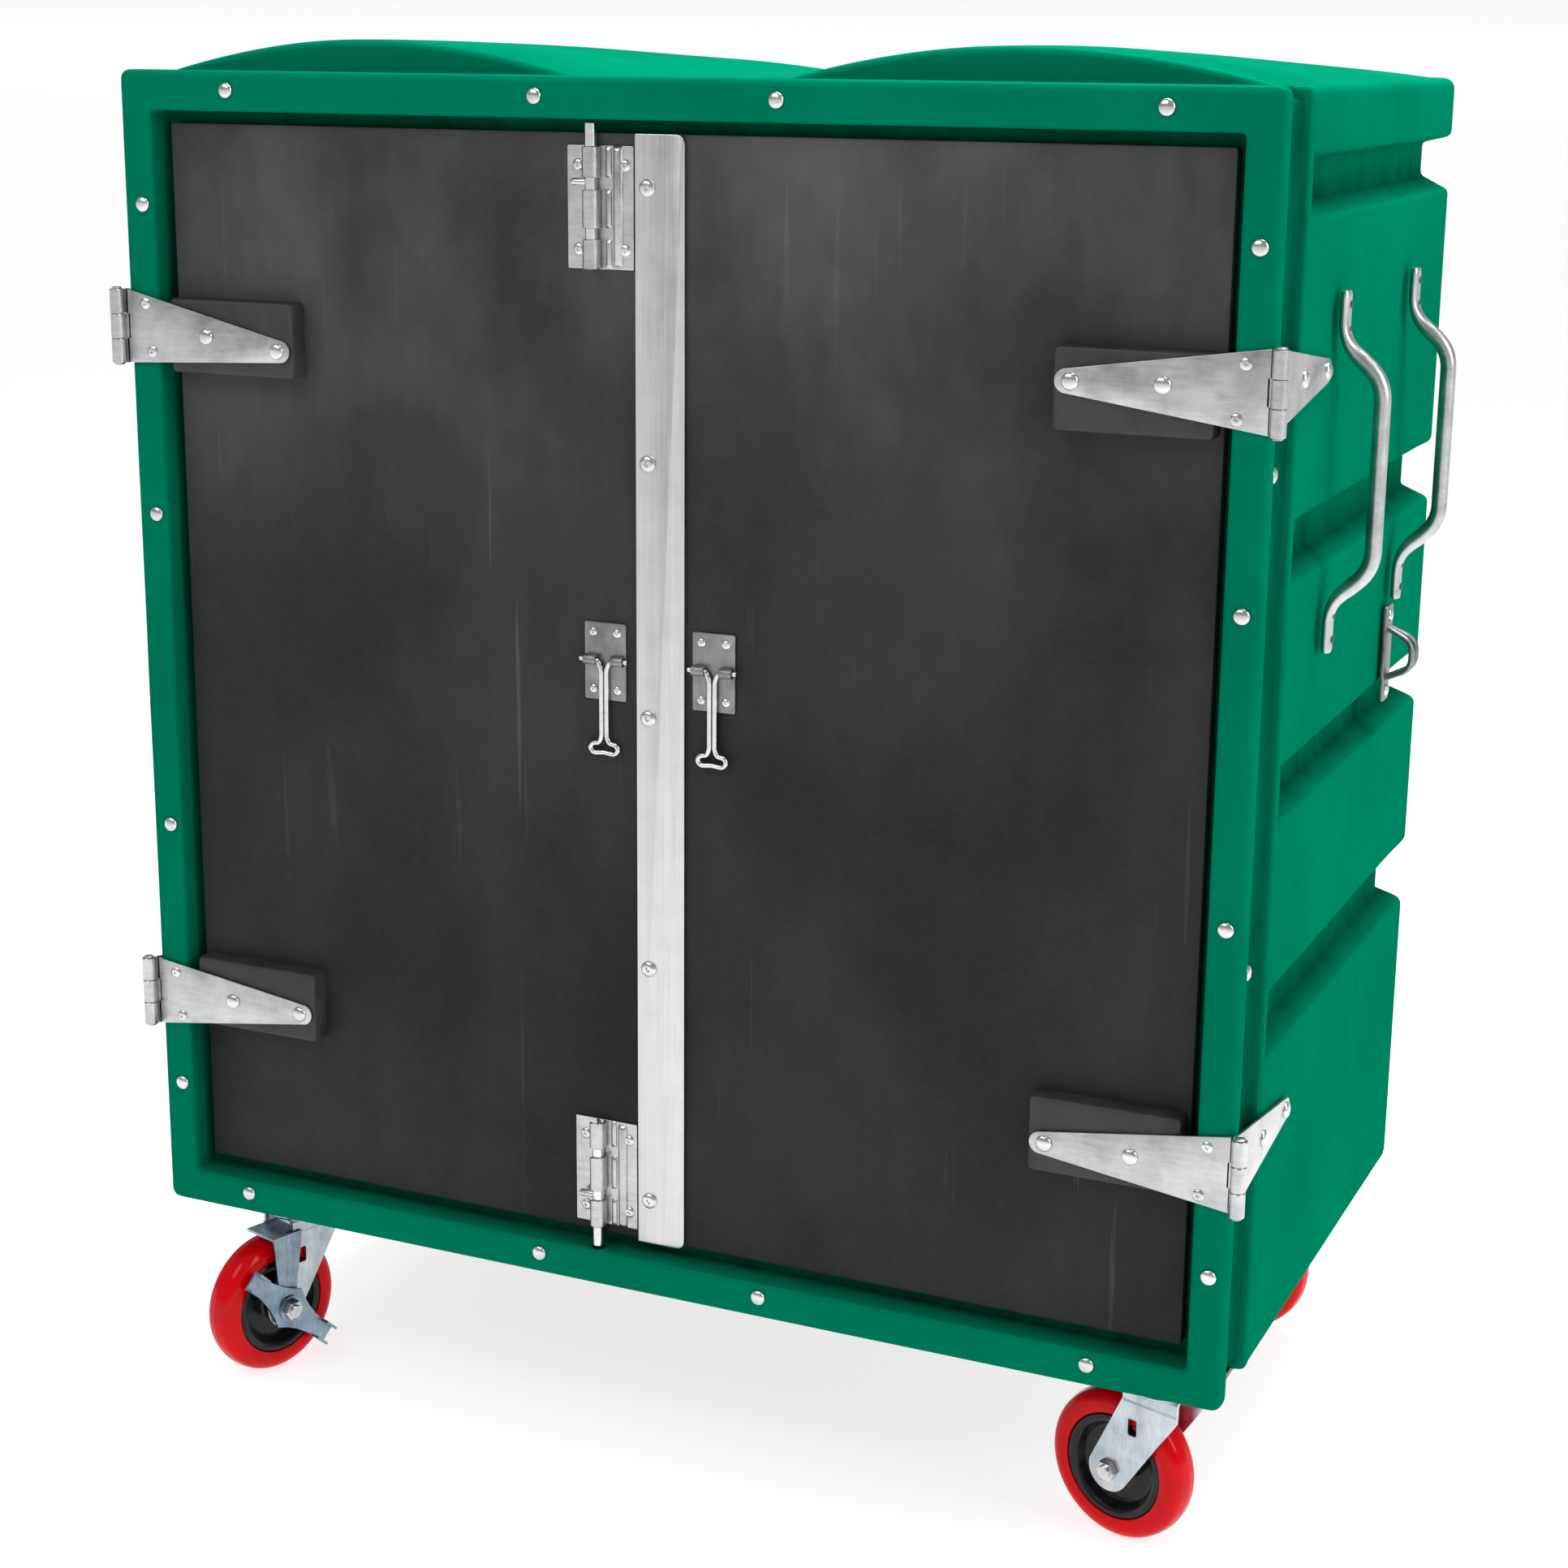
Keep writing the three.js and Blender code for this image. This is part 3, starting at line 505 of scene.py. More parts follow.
def metal(name, dark, light, rough, grain, spangle=0.35, pits=0.08):
    """A plated or brushed metal. grain stretches its fine lines along each axis."""
    f = Finish(name, Metallic=1.0)
    bloom = f.speckle(38, detail=5)
    lines = f.speckle(300, grain, 4, 0.7)
    tone = (bloom * (1 - spangle) + lines * spangle).clamped()
    colour = f.blend(f.ramp(tone, (0.32, 0), (0.68, 1)), dark, light)
    finish = f.ramp(tone, (0.3, rough[0]), (0.7, rough[1]))
    return f.feed(Base_Color=colour, Roughness=finish, Normal=f.bumps(lines, pits, 0.0003))


def red_tyre():
    """Glossy red polyurethane with a little floor dust."""
    f = Finish("red_tyre", IOR=1.5, Specular_IOR_Level=0.04, Coat_Roughness=0.05)
    swirl = f.speckle(18, detail=4)
    dust = f.speckle(160, detail=5, roughness=0.7)
    colour = f.blend(f.ramp(swirl, (0.3, 0), (0.7, 1)), shade(190, 0, 8), shade(222, 0, 14))
    colour = f.blend(f.ramp(dust, (0.6, 0), (0.8, 1)) * 0.14, colour, shade(120, 50, 50))
    rough = f.ramp(dust, (0.4, 0.16), (0.8, 0.34))
    coat = f.ramp(swirl, (0.3, 0.26), (0.7, 0.14))
    return f.feed(Base_Color=colour, Roughness=rough, Coat_Weight=coat, Normal=f.bumps(swirl, 0.1, 0.002))


def gloss_core():
    """Glossy black moulded wheel core."""
    f = Finish("gloss_core", IOR=1.5, Specular_IOR_Level=0.26)
    haze = f.speckle(90, detail=4)
    colour = f.blend(f.ramp(haze, (0.35, 0), (0.75, 1)), shade(14, 14, 15), shade(34, 34, 36))
    rough = f.ramp(haze, (0.35, 0.12), (0.8, 0.28))
    return f.feed(Base_Color=colour, Roughness=rough, Normal=f.bumps(haze, 0.08, 0.0006))


def painted_black():
    """Black painted steel with rubbed paint."""
    f = Finish("painted_black", Metallic=0.0, IOR=1.5)
    rubs = f.ramp(f.speckle(60, (0.2, 1, 1), 6, 0.7), (0.58, 0), (0.75, 1))
    colour = f.blend(rubs * 0.5, shade(34, 34, 36), shade(110, 108, 105))
    return f.feed(Base_Color=colour, Roughness=0.4 + rubs * 0.2, Normal=f.bumps(f.speckle(350), 0.15, 0.0004))


def pale_board():
    """Pale grey polyethylene shelf sheet."""
    f = Finish("pale_board", IOR=1.46)
    marks = f.speckle(22, (0.15, 1, 1), 6, 0.65)
    colour = f.blend(f.ramp(marks, (0.4, 0), (0.75, 1)), shade(206, 206, 200), shade(176, 176, 171))
    rough = f.ramp(marks, (0.3, 0.45), (0.8, 0.6))
    return f.feed(Base_Color=colour, Roughness=rough, Normal=f.bumps(marks, 0.1, 0.0006))


def pale_floor():
    """A pale matt floor that glows a little, so that shadows on it stay faint."""
    f = Finish("pale_floor", Emission_Color=(1, 1, 1, 1), Emission_Strength=0.74)
    tone = f.speckle(1.4, detail=3)
    colour = f.blend(tone * 0.3, (0.52, 0.52, 0.52, 1), (0.49, 0.49, 0.49, 1))
    return f.feed(Base_Color=colour, Roughness=0.55 + tone * 0.1)


GREEN = moulded_green()
CHARCOAL = charcoal_sheet()
BLACK = black_block()
ZINC = metal("zinc_plate", shade(158, 159, 160), shade(204, 205, 206), (0.24, 0.40), (0.15, 1, 1))
DULL_ZINC = metal("dull_zinc", shade(104, 105, 107), shade(156, 157, 158), (0.34, 0.52), (1, 1, 0.3), 0.2)
BLUE_ZINC = metal("blue_zinc", shade(152, 163, 172), shade(212, 219, 224), (0.22, 0.40), (1, 1, 0.2))
BRUSHED = metal(
    "brushed_strip", shade(186, 186, 186), shade(212, 212, 212), (0.26, 0.40), (1, 1, 0.02), 0.6, 0.15,
)
BRIGHT = metal("bright_zinc", shade(184, 184, 185), shade(226, 226, 226), (0.14, 0.26), (1, 1, 1), 0.3, 0.04)
BLUED = metal("blued_zinc", shade(98, 116, 132), shade(166, 184, 197), (0.18, 0.38), (1, 1, 0.2))
RED = red_tyre()
CORE = gloss_core()
PAINTED_BLACK = painted_black()
SHELF_BOARD = pale_board()
PALE_FLOOR = pale_floor()


# ---- Cabinet ----


def wave(s, t, seed=0.0):
    """A slow ripple between -1 and 1, as moulded panels have."""
    return noise.noise(Vector((s * 0.006, t * 0.006, seed)))


def front_frame():
    """The rim, the neck behind it and the ridge, as one profile swept round the front outline."""
    profile = eased([
        (RIM["lip"], 44, 0.8), (RIM["lip"], RIM["step_y"], 3), (RIM["width"], RIM["step_y"], 2.5),
        (RIM["width"], 0, 5.5), (0, 0, 6.5), (0, NECK["front"], 4),
        (NECK["inset"], NECK["front"], 2), (NECK["inset"], NECK["back"], 6),
        (0, RIDGE["front"], 4), (0, RIDGE["back"], 3), (7, 88, 0),
        (NECK["inset"] + WALL, 81, 2), (NECK["inset"] + WALL, 44, 0),
    ])
    rows = []
    for inset, y in profile:
        inner = 1 if inset > 20 else 0
        low = inset + RIM["more_below"] * inner
        high = H - inset - RIM["more_above"] * inner
        left, right = inset, W - inset
        radius = max(3.0, 9 - inset * 0.15)
        ring = rounded_box(left, low, right, high, radius, 5)
        rows.append([ripple(x, y, z, inset) for x, z in split_long(ring)])
    return skin(rows + [rows[0]], ends=False)


def split_long(ring, longest=26):
    """A closed outline with its long sides divided into even steps."""
    points = []
    for (x0, z0), (x1, z1) in zip(ring, ring[1:] + ring[:1]):
        steps = max(1, round(math.hypot(x1 - x0, z1 - z0) / longest))
        for k in range(steps):
            points.append((x0 + (x1 - x0) * k / steps, z0 + (z1 - z0) * k / steps))
    return points


def ripple(x, y, z, inset):
    """A point of the front frame, moved a little as moulded edges wander."""
    loose = min(1, max(0, (y - 20) / 50)) if inset < 20 else 0.0
    shift = loose * (0.9 + 0.9 * wave(x * 1.6 + z * 1.6, y, 3.1))
    dx = shift if x < W / 2 else -shift
    dz = shift if z < H / 2 else -shift
    on_side = abs(x - W / 2) / W > abs(z - H / 2) / H
    face = 0.5 + 0.5 * wave(x * 2, z * 2, 8.4) if y < 2 else 0.0
    return spot(x + dx, y + face, z) if on_side else spot(x, y + face, z + dz)


def wall_profile(skin_depth):
    """(inset, height) from the middle of the bottom, up the channelled wall, to the middle of the lid."""
    s = skin_depth
    corners = [(60, s, 0), (s, s, 11)]
    for bottom, top in CHANNELS:
        corners += [
            (s, bottom - s, 7), (s + CHANNEL_DEPTH, bottom + 13 - s, 6),
            (s + CHANNEL_DEPTH, top - 5 + s, 4.5), (s, top + s, 6),
        ]
    corners += [(s, H - 1 - s, 10), (60, H - 1 - s, 0)]
    outline = eased(corners, steps=4, closed=False)
    levels = []
    for (i0, z0), (i1, z1) in zip(outline, outline[1:]):
        steps = max(1, round(abs(z1 - z0) / 22))
        levels += [(i0 + (i1 - i0) * k / steps, z0 + (z1 - z0) * k / steps) for k in range(steps)]
    return levels + [outline[-1]]


HANDLES = ("front_side_handle", "rear_side_handle")
HANDLE_DEPTHS = [middle(node).y for node in HANDLES]
HANDLE_FEET = (HANDLE["top"] - HANDLE["foot"] / 2, HANDLE["bottom"] + HANDLE["foot"] / 2)


def dent(y, z, at_y, at_z, depth, reach):
    """How far a panel is pulled in round one fastening."""
    distance = math.hypot(y - at_y, z - at_z) / reach
    return depth * math.exp(-distance * distance)


def panel_dip(side, along, z):
    """How far a wall lies inside its plane: a slow sway, and pulls by the screwed handles."""
    dip = 1.0 + 1.6 * (0.5 + 0.5 * wave(along, z, side * 5.7)) ** 2
    dip += 1.0 * (0.5 + 0.5 * wave(along * 3, z * 1.4, side * 9.3))
    if side == 1:
        for foot_y in HANDLE_DEPTHS:
            for foot_z in HANDLE_FEET:
                dip += dent(along, z, foot_y - 16, foot_z, 2.6, 26)
                dip -= dent(along, z, foot_y - 40, foot_z, 1.2, 30)
    return max(0.3, dip)


def sleeve(skin_depth, front_y):
    """The cabinet's walls, lid and floor behind the ridge, as levels of a plan that opens to the front."""
    radius = 22 - min(skin_depth, 4)
    rows = []
    for inset, z in wall_profile(skin_depth):
        left, right, back = inset, W - inset, D - inset
        plan = [(left, front_y, -1)]
        plan += [(left, front_y + (back - radius - front_y) * k / 24, -1) for k in range(1, 24)]
        plan += arc(left + radius, back - radius, radius, math.pi, math.pi / 2)
        plan += [(left + radius + (right - left - 2 * radius) * k / 32, back, 0) for k in range(1, 32)]
        plan += arc(right - radius, back - radius, radius, math.pi / 2, 0)
        plan += [(right, back - radius - (back - radius - front_y) * k / 24, 1) for k in range(1, 24)]
        plan.append((right, front_y, 1))
        rows.append([swayed(x, y, z, side) for x, y, side in plan])
    return skin(rows, wrap=False, ends=True)


def arc(x, y, radius, start, end, steps=7):
    turns = [start + (end - start) * k / steps for k in range(steps + 1)]
    return [(x + radius * math.cos(a), y + radius * math.sin(a), 2) for a in turns]


def swayed(x, y, z, side):
    """A wall point moved in by its panel's dip, easing off at the corners and edges."""
    edge = min(1, max(0, min(z, H - z) / 30))
    if side in (-1, 1):
        ease = edge * min(1, max(0, (y - 84) / 40)) * min(1, max(0, (D - 22 - y) / 40))
        return spot(x - side * (1 + (panel_dip(side, y, z) - 1) * ease), y, z)
    if side == 0:
        ease = edge * min(1, max(0, min(x - 22, W - 22 - x) / 40))
        return spot(x, y - 1 - (panel_dip(0, x, z) - 1) * ease, z)
    return spot(x + (1 if x < W / 2 else -1), y - 1, z)


def dome(centre):
    """A crowned lid panel: a steep face in front, an arch across, sinking to the back."""
    front, back, half = DOMES["front"], DOMES["back"], DOMES["half"]
    stations = [(front + 6 * (1 - math.cos(a)), 6 * (1 - math.sin(a))) for a in (0, 0.4, 0.8, 1.2, 1.57)]
    stations += [(front + 6 + (back - front - 20) * k / 20, 0) for k in range(1, 21)]
    stations += [(back - 14 + 14 * math.sin(a), 11 * (1 - math.cos(a))) for a in (0.5, 1.0, 1.4, 1.57)]
    rows = []
    for y, drop in stations:
        t = (y - front) / (back - front)
        rise = DOMES["rise"] + (DOMES["rear_rise"] - DOMES["rise"]) * t * t
        row = [spot(centre - half, y, H - 30)]
        for k in range(33):
            across = k / 16 - 1
            height = rise * (1 - across * across)
            height += 0.9 * wave(centre + across * half, y, 1.7) * (1 - across * across)
            row.append(spot(centre + across * half, y, H - 1.2 + height - drop))
        row.append(spot(centre + half, y, H - 30))
        rows.append(row)
    return skin(rows)


def painted_shade_share(point):
    """How much painted shade a place gets, standing in for the shade in its hollows: 1 in the neck, behind
    the rim and on a ledge.
    """
    x, y, z = (point - CORNER) / MM
    if y < 9 or z > H - 3:
        return 0
    in_front = min(x, W - x, z, H - z)
    if y < RIDGE["front"] - 1:
        return 1 if in_front > 20 else max(0, min(1, in_front / NECK["inset"]))
    if z > H - 14:
        return 0
    depth = min(x, W - x, D - y)
    if any(bottom - 2 < z < bottom + 17 for bottom, _ in CHANNELS):
        return max(0, min(1, (depth - 3) / 5))
    return 0.4 * max(0, min(1, (depth - 4) / (CHANNEL_DEPTH - 5)))


def strike_holes():
    """Two short bars where the bolt rods enter the rim, to cut its strike holes with."""
    depth, overlap = 15, 4
    lowest = (RIM["width"] + RIM["more_below"] - depth, H - RIM["width"] - RIM["more_above"] - overlap)
    place = Matrix.Translation(spot(BOLT["x"], middle("top_bolt_rod").y, 0))
    bars = []
    for low in lowest:
        high = low + depth + overlap
        bar = turned([(0, low), (BOLT_BORE, low), (BOLT_BORE, high), (0, high)], 24)
        bars.append(placed(bar, place))
    return bars


def bored(mesh, cutters):
    """A closed mesh with the closed cutters taken out of it."""
    whole = shape_of("uncut", [mesh])
    cutter = shape_of("cutter", cutters)
    cut = whole.modifiers.new("cut", "BOOLEAN")
    cut.object = cutter
    cut.operation = "DIFFERENCE"
    cut.solver = "EXACT"
    evaluated = whole.evaluated_get(bpy.context.evaluated_depsgraph_get())
    result = bpy.data.meshes.new_from_object(evaluated)
    for sketch in (whole, cutter):
        bpy.data.objects.remove(sketch)
    return result


def build_cabinet():
    centres = (W / 2 - DOMES["offset"], W / 2 + DOMES["offset"])
    outside = [bored(front_frame(), strike_holes()), sleeve(0, 80)]
    outer_points = sum(len(mesh.vertices) for mesh in outside)
    meshes = [*outside, sleeve(WALL, 84), *(dome(x) for x in centres)]
    cabinet = piece("moulded_cabinet", meshes, GREEN, "cabinet", ["body_shell"], angle=40)
    # Painted shade: each point of the outer skin keeps its share of the darker green, the inner skin none.
    layer = cabinet.data.attributes.new("shelter", "FLOAT", "POINT")
    shade_shares = [painted_shade_share(point.co) if point.index < outer_points else 0 for point in cabinet.data.vertices]
    layer.data.foreach_set("value", shade_shares)


# ---- Fastenings ----


def dome_head(radius, height, flange):
    """A round screw or rivet head, drawn from its seat upwards."""
    profile = [(0, 0), (radius, 0), (radius, flange)]
    for k in range(1, 7):
        a = math.pi / 2 * k / 7
        profile.append((radius * math.cos(a), flange + (height - flange) * math.sin(a)))
    return turned([*profile, (0, height)], 24)


def cross_head(radius, height):
    """A pan head with a small round recess for its driver."""
    return turned([
        (0, 0), (radius, 0), (radius, height * 0.35), (radius * 0.86, height * 0.72),
        (radius * 0.55, height), (radius * 0.30, height), (radius * 0.16, height * 0.45), (0, height * 0.4),
    ], 24)


def hex_nut(radius, height):
    """A nut or bolt head with its corners turned off."""
    return turned([(0, 0), (radius, 0), (radius, height * 0.82), (radius * 0.88, height), (0, height)], 6)


def rivet():
    return dome_head(6.4, 3.6, 0.6)


def heads(name, body, seats, head=rivet, finish=BRIGHT):
    """A group of like fastenings: each seat is a place and the way it faces."""
    piece(name, [placed(head(), facing(at, out)) for at, out in seats], finish, body)


SUNK = 0.4


def build_fastenings():
    rim = [(x, 964.5) for x in (104, 384, 585, 879)]
    rim += [(x, 18.6) for x in (85, 376, 578, 856.5)]
    rim += [(19, z) for z in (873, 618, 348, 111.6)]
    rim += [(949, z) for z in (872, 615, 383, 110)]
    heads("rim_rivets", "cabinet", [((x, SUNK, z), FRONT) for x, z in rim])
    neck, heights = NECK["inset"] + SUNK, (709, 336)
    heads("side_rivets", "cabinet", [((W - neck, 50, z), (1, 0, 0)) for z in heights])
    heads("left_side_rivets", "cabinet", [((neck, 50, z), (-1, 0, 0)) for z in heights])
    strip_face = extent("centre_strip")[0].y
    seats = [((472.5, strip_face, z), FRONT) for z in (898, 689, 487, 279, 78)]
    heads("strip_screws", "left_door", seats, lambda: cross_head(6.6, 3.0))


# ---- Doors ----


def dress_node(name, finish, ease):
    """Keeps a CAD node, with its finish and small round edges that catch the light."""
    node = frame["nodes"][name]
    node.data.materials.clear()
    node.data.materials.append(finish)
    shaded_smooth(node.data)
    bevel = node.modifiers.new("eased_edges", "BEVEL")
    bevel.width = ease * MM
    bevel.segments = 2
    bevel.limit_method = "ANGLE"
    bevel.angle_limit = math.radians(EASED_ANGLE)
    bevel.use_clamp_overlap = True
    bevel.harden_normals = True


def front_board(low, high, radii, edge, steps=4):
    """A flat board between two corners, with its face to the front."""
    sheet = plate([rounded_box(low.x, low.z, high.x, high.z, radii, steps)], high.y - low.y, edge)
    return placed(sheet, facing((0, (low.y + high.y) / 2, 0), FRONT))


def build_doors():
    for side in ("left", "right"):
        body = side + "_door"
        board = front_board(*extent(body), 2.5, 1.1)
        piece(side + "_door_sheet", [board], CHARCOAL, body, [body])
        for level in ("upper", "lower"):
            node = level + "_" + side + "_spacer"
            piece(node + "_block", [spacer_block(node)], BLACK, body, [node])
    strip = front_board(*extent("centre_strip"), (1, 8, 8, 1), 0.7, 6)
    piece("overlap_strip", [strip], BRUSHED, "left_door", ["centre_strip"])


def spacer_block(node):
    """A block that packs a hinge leaf out from its door, with soft front edges."""
    low, high = extent(node)
    rows = []
    for inset, y in [(0, high.y), (0, low.y + 3.2), (0.9, low.y + 1.0), (3.0, low.y)]:
        ring = rounded_box(low.x + inset, low.z + inset, high.x - inset, high.z - inset, 4, 3)
        rows.append([spot(x, y, z) for x, z in ring])
    return skin(rows)


# ---- Strap hinges ----

LEAF = {"length": 158, "height": 61, "sheet": 2.3, "tip": 9, "barrel": 6, "pin": 2.9, "gap": 0.4}
AXIS_OUT = -6.4
HINGE_HEIGHTS = {"upper": 774, "lower": 195.5}


def leaf_outline(height, drop):
    tip = LEAF["length"] - LEAF["tip"]
    half = LEAF["height"] / 2 - 0.4
    nose = []
    for k in range(13):
        a = math.pi * (k / 12 - 0.5)
        nose.append((tip + LEAF["tip"] * math.cos(a), height - drop + LEAF["tip"] * math.sin(a)))
    return [(1.4, height - half), *nose, (1.4, height + half)]


def leaf_holes(height, drop):
    """Where a leaf is screwed: two by the barrel, one half way and one in the tip."""
    return [
        (19, height + 19, "flat"), (24, height - 20, "flat"),
        (78, height - drop * 0.45 + 1, "dome"), (146, height - drop, "dome"),
    ]


def knuckle(low, high):
    barrel, hollow = LEAF["barrel"], LEAF["pin"] + 0.4
    mesh = turned([
        (hollow, low), (barrel - 0.4, low), (barrel, low + 0.5), (barrel, high - 0.5), (barrel - 0.4, high),
        (hollow, high), (hollow, low),
    ], 28)
    return placed(mesh, Matrix.Translation(spot(AXIS_OUT, AXIS_OUT, 0)))


def leaf_web(low, high, on_front):
    """The sheet that rolls from a leaf into its knuckle."""
    face, back, tail = -(LEAF["gap"] + LEAF["sheet"]), -LEAF["gap"], AXIS_OUT + 4.1
    cross = [(tail, face), (3, face), (3, back), (tail, back)]
    points = cross if on_front else [(y, x) for x, y in cross]
    return skin([[spot(x, y, z) for x, y in points] for z in (low, high)])


def hinge_pin(low, high):
    """A pin with a flat head at each end."""
    shank, head = LEAF["pin"], 4.1
    profile = [
        (0, low - 1.6), (3.2, low - 1.6), (head, low - 1.1), (head, low - 0.3), (shank, low - 0.3),
        (shank, high + 0.3), (head, high + 0.3), (head, high + 1.1), (3.2, high + 1.6), (0, high + 1.6),
    ]
    return placed(turned(profile, 20), Matrix.Translation(spot(AXIS_OUT, AXIS_OUT, 0)))


def leaf_screws(holes, on_front):
    """The heads in a leaf's holes, on the front or on the cabinet's side."""
    meshes = []
    for along, z, kind in holes:
        head = dome_head(6.6, 3.4, 0.5) if kind == "dome" else cross_head(4.6, 1.6)
        face = -(LEAF["gap"] + LEAF["sheet"])
        seat = facing((along, face, z), FRONT) if on_front else facing((face, along, z), (-1, 0, 0))
        meshes.append(placed(head, seat))
    return meshes


def build_hinge(side, level):
    """A strap hinge, drawn on the left and mirrored for the right."""
    height = HINGE_HEIGHTS[level]
    drop = 14 if (side, level) == ("left", "upper") else 0
    flip = Matrix.Identity(4)
    if side == "right":
        shift = Matrix.Translation((CORNER.x + W * MM / 2, 0, 0))
        flip = shift @ Matrix.Scale(-1, 4, (1, 0, 0)) @ shift.inverted()
    low, high = height - LEAF["height"] / 2, height + LEAF["height"] / 2
    third = LEAF["height"] / 3
    cuts = [(low + k * third + 0.2, low + (k + 1) * third - 0.2) for k in range(3)]
    face = -(LEAF["gap"] + LEAF["sheet"] / 2)
    door_leaf = [
        placed(plate([leaf_outline(height, drop)], LEAF["sheet"], 0.35), facing((0, face, 0), FRONT)),
        knuckle(*cuts[1]), leaf_web(*cuts[1], True),
    ]
    turn_side = Matrix(((0, 0, -1, 0), (1, 0, 0, 0), (0, 1, 0, 0), (0, 0, 0, 1)))
    side_leaf = [
        placed(plate([leaf_outline(height, 0)], LEAF["sheet"], 0.35),
               Matrix.Translation(spot(face, 0, 0)) @ turn_side),
        knuckle(*cuts[0]), knuckle(*cuts[2]), leaf_web(*cuts[0], False), leaf_web(*cuts[2], False),
    ]
    node, door = level + "_" + side, side + "_door"
    parts = [
        ("_strap_leaf", door_leaf, ZINC, door, ["_door_leaf"]),
        ("_wall_leaf", side_leaf, ZINC, "cabinet", ["_side_leaf"]),
        ("_pin", [hinge_pin(low, high)], ZINC, "cabinet", ["_hinge_pin"]),
        ("_strap_screws", leaf_screws(leaf_holes(height, drop), True), BRIGHT, door, []),
        ("_wall_screws", leaf_screws(leaf_holes(height, 0), False), BRIGHT, "cabinet", []),
    ]
    for suffix, meshes, finish, body, nodes in parts:
        meshes = [placed(mesh, flip) for mesh in meshes]
        piece(node + suffix, meshes, finish, body, [node + name for name in nodes])


# ---- Barrel bolts ----


def build_bolt(end):
    """A barrel bolt, drawn pointing up from its tip at z = 0 and turned over for the lower one."""
    plate_node, rod_node = end + "_bolt_plate", end + "_bolt_rod"
    sheet = 1.6
    face = extent(plate_node)[1].y - sheet
    rod_low, rod_high = extent(rod_node)
    rod_y = middle(rod_node).y
    up, tip = (1, rod_high.z) if end == "top" else (-1, rod_low.z)
    base = Matrix.Translation(spot(0, 0, tip)) @ Matrix.Scale(up, 4, (0, 0, 1))
    high = -BOLT["below_tip"]
    low = high - BOLT["length"]
    outline = rounded_box(BOLT["left"], low, BOLT["right"], high, 1.2)
    back = [
        placed(plate([outline], sheet, 0.35), moved(0, face + sheet / 2, 0) @ STAND_UP),
        swell(BOLT["x"] + 20.5, face, low + 2, high, 4.2, 3.0),
    ]
    for z0, z1 in ((-41.8, -18.6), (-79.8, -50.8), (-110.5, -88)):
        back.append(guide(rod_y, face, z0, z1))
        back.append(swell(BOLT["x"] + 12.5, face, z0, z1, 2.6, 1.8))
    radius = BOLT["rod"]
    rod = turned([
        (0, -106), (4.2, -106), (radius, -105.2), (radius, -1.6), (4.0, -0.4), (2.6, 0), (0, 0),
    ], 28)
    knob = turned([(0, 0), (3, 0), (3, 14.5), (2.6, 16), (1.4, 17), (0, 17)], 20)
    knob_turn = moved(BOLT["x"], rod_y, -45.3) @ Matrix.Rotation(-math.pi / 2, 4, "Y")
    slide = [placed(rod, base @ moved(BOLT["x"], rod_y, 0)), placed(knob, base @ knob_turn)]
    back = [placed(mesh, base) for mesh in back]
    piece(end + "_barrel_plate", back, ZINC, "left_door", [plate_node])
    piece(end + "_barrel_rod", slide, BRIGHT, end + "_bolt", [rod_node])
    seats = [moved(x, face, high - down) for x in (413.5, 453.4) for down in (14.4, 77.7)]
    screws = [placed(cross_head(4.6, 2.0), base @ seat @ STAND_UP) for seat in seats]
    piece(end + "_barrel_screws", screws, BRIGHT, "left_door")


def swell(x, face, low, high, half, proud):
    """A long pressed ridge standing proud of a plate's face."""
    rising = [(low, 0.0), (low + 1.5, 0.7), (low + 3.5, 1)]
    falling = [(high - 3.5, 1), (high - 1.5, 0.7), (high, 0.0)]
    rows = []
    for z, share in rising + falling:
        row = [Vector((x + half, face + 0.5, z)) * MM]
        for k in range(9):
            a = math.pi * k / 8
            row.append(Vector((x + half * math.cos(a), face - proud * share * math.sin(a), z)) * MM)
        row.append(Vector((x - half, face + 0.5, z)) * MM)
        rows.append(row)
    return skin(rows)


def guide(rod_y, face, low, high):
    """A pressed loop that holds the rod, open on the left for the knob."""
    inner, outer = 5.3, 7.0
    start, end = math.radians(-138), math.radians(125)
    turns = [start + (end - start) * k / 26 for k in range(27)]
    rows = []
    for z, ease in ((low, 0.5), (low + 0.5, 0), (high - 0.5, 0), (high, 0.5)):
        loop = [(outer - ease, a) for a in turns] + [(inner, a) for a in reversed(turns)]
        points = [(BOLT["x"] + r * math.cos(a), rod_y + r * math.sin(a)) for r, a in loop]
        rows.append([Vector((x, min(y, face + 1.2), z)) * MM for x, y in points])
    return skin(rows)


# ---- Drop pulls ----


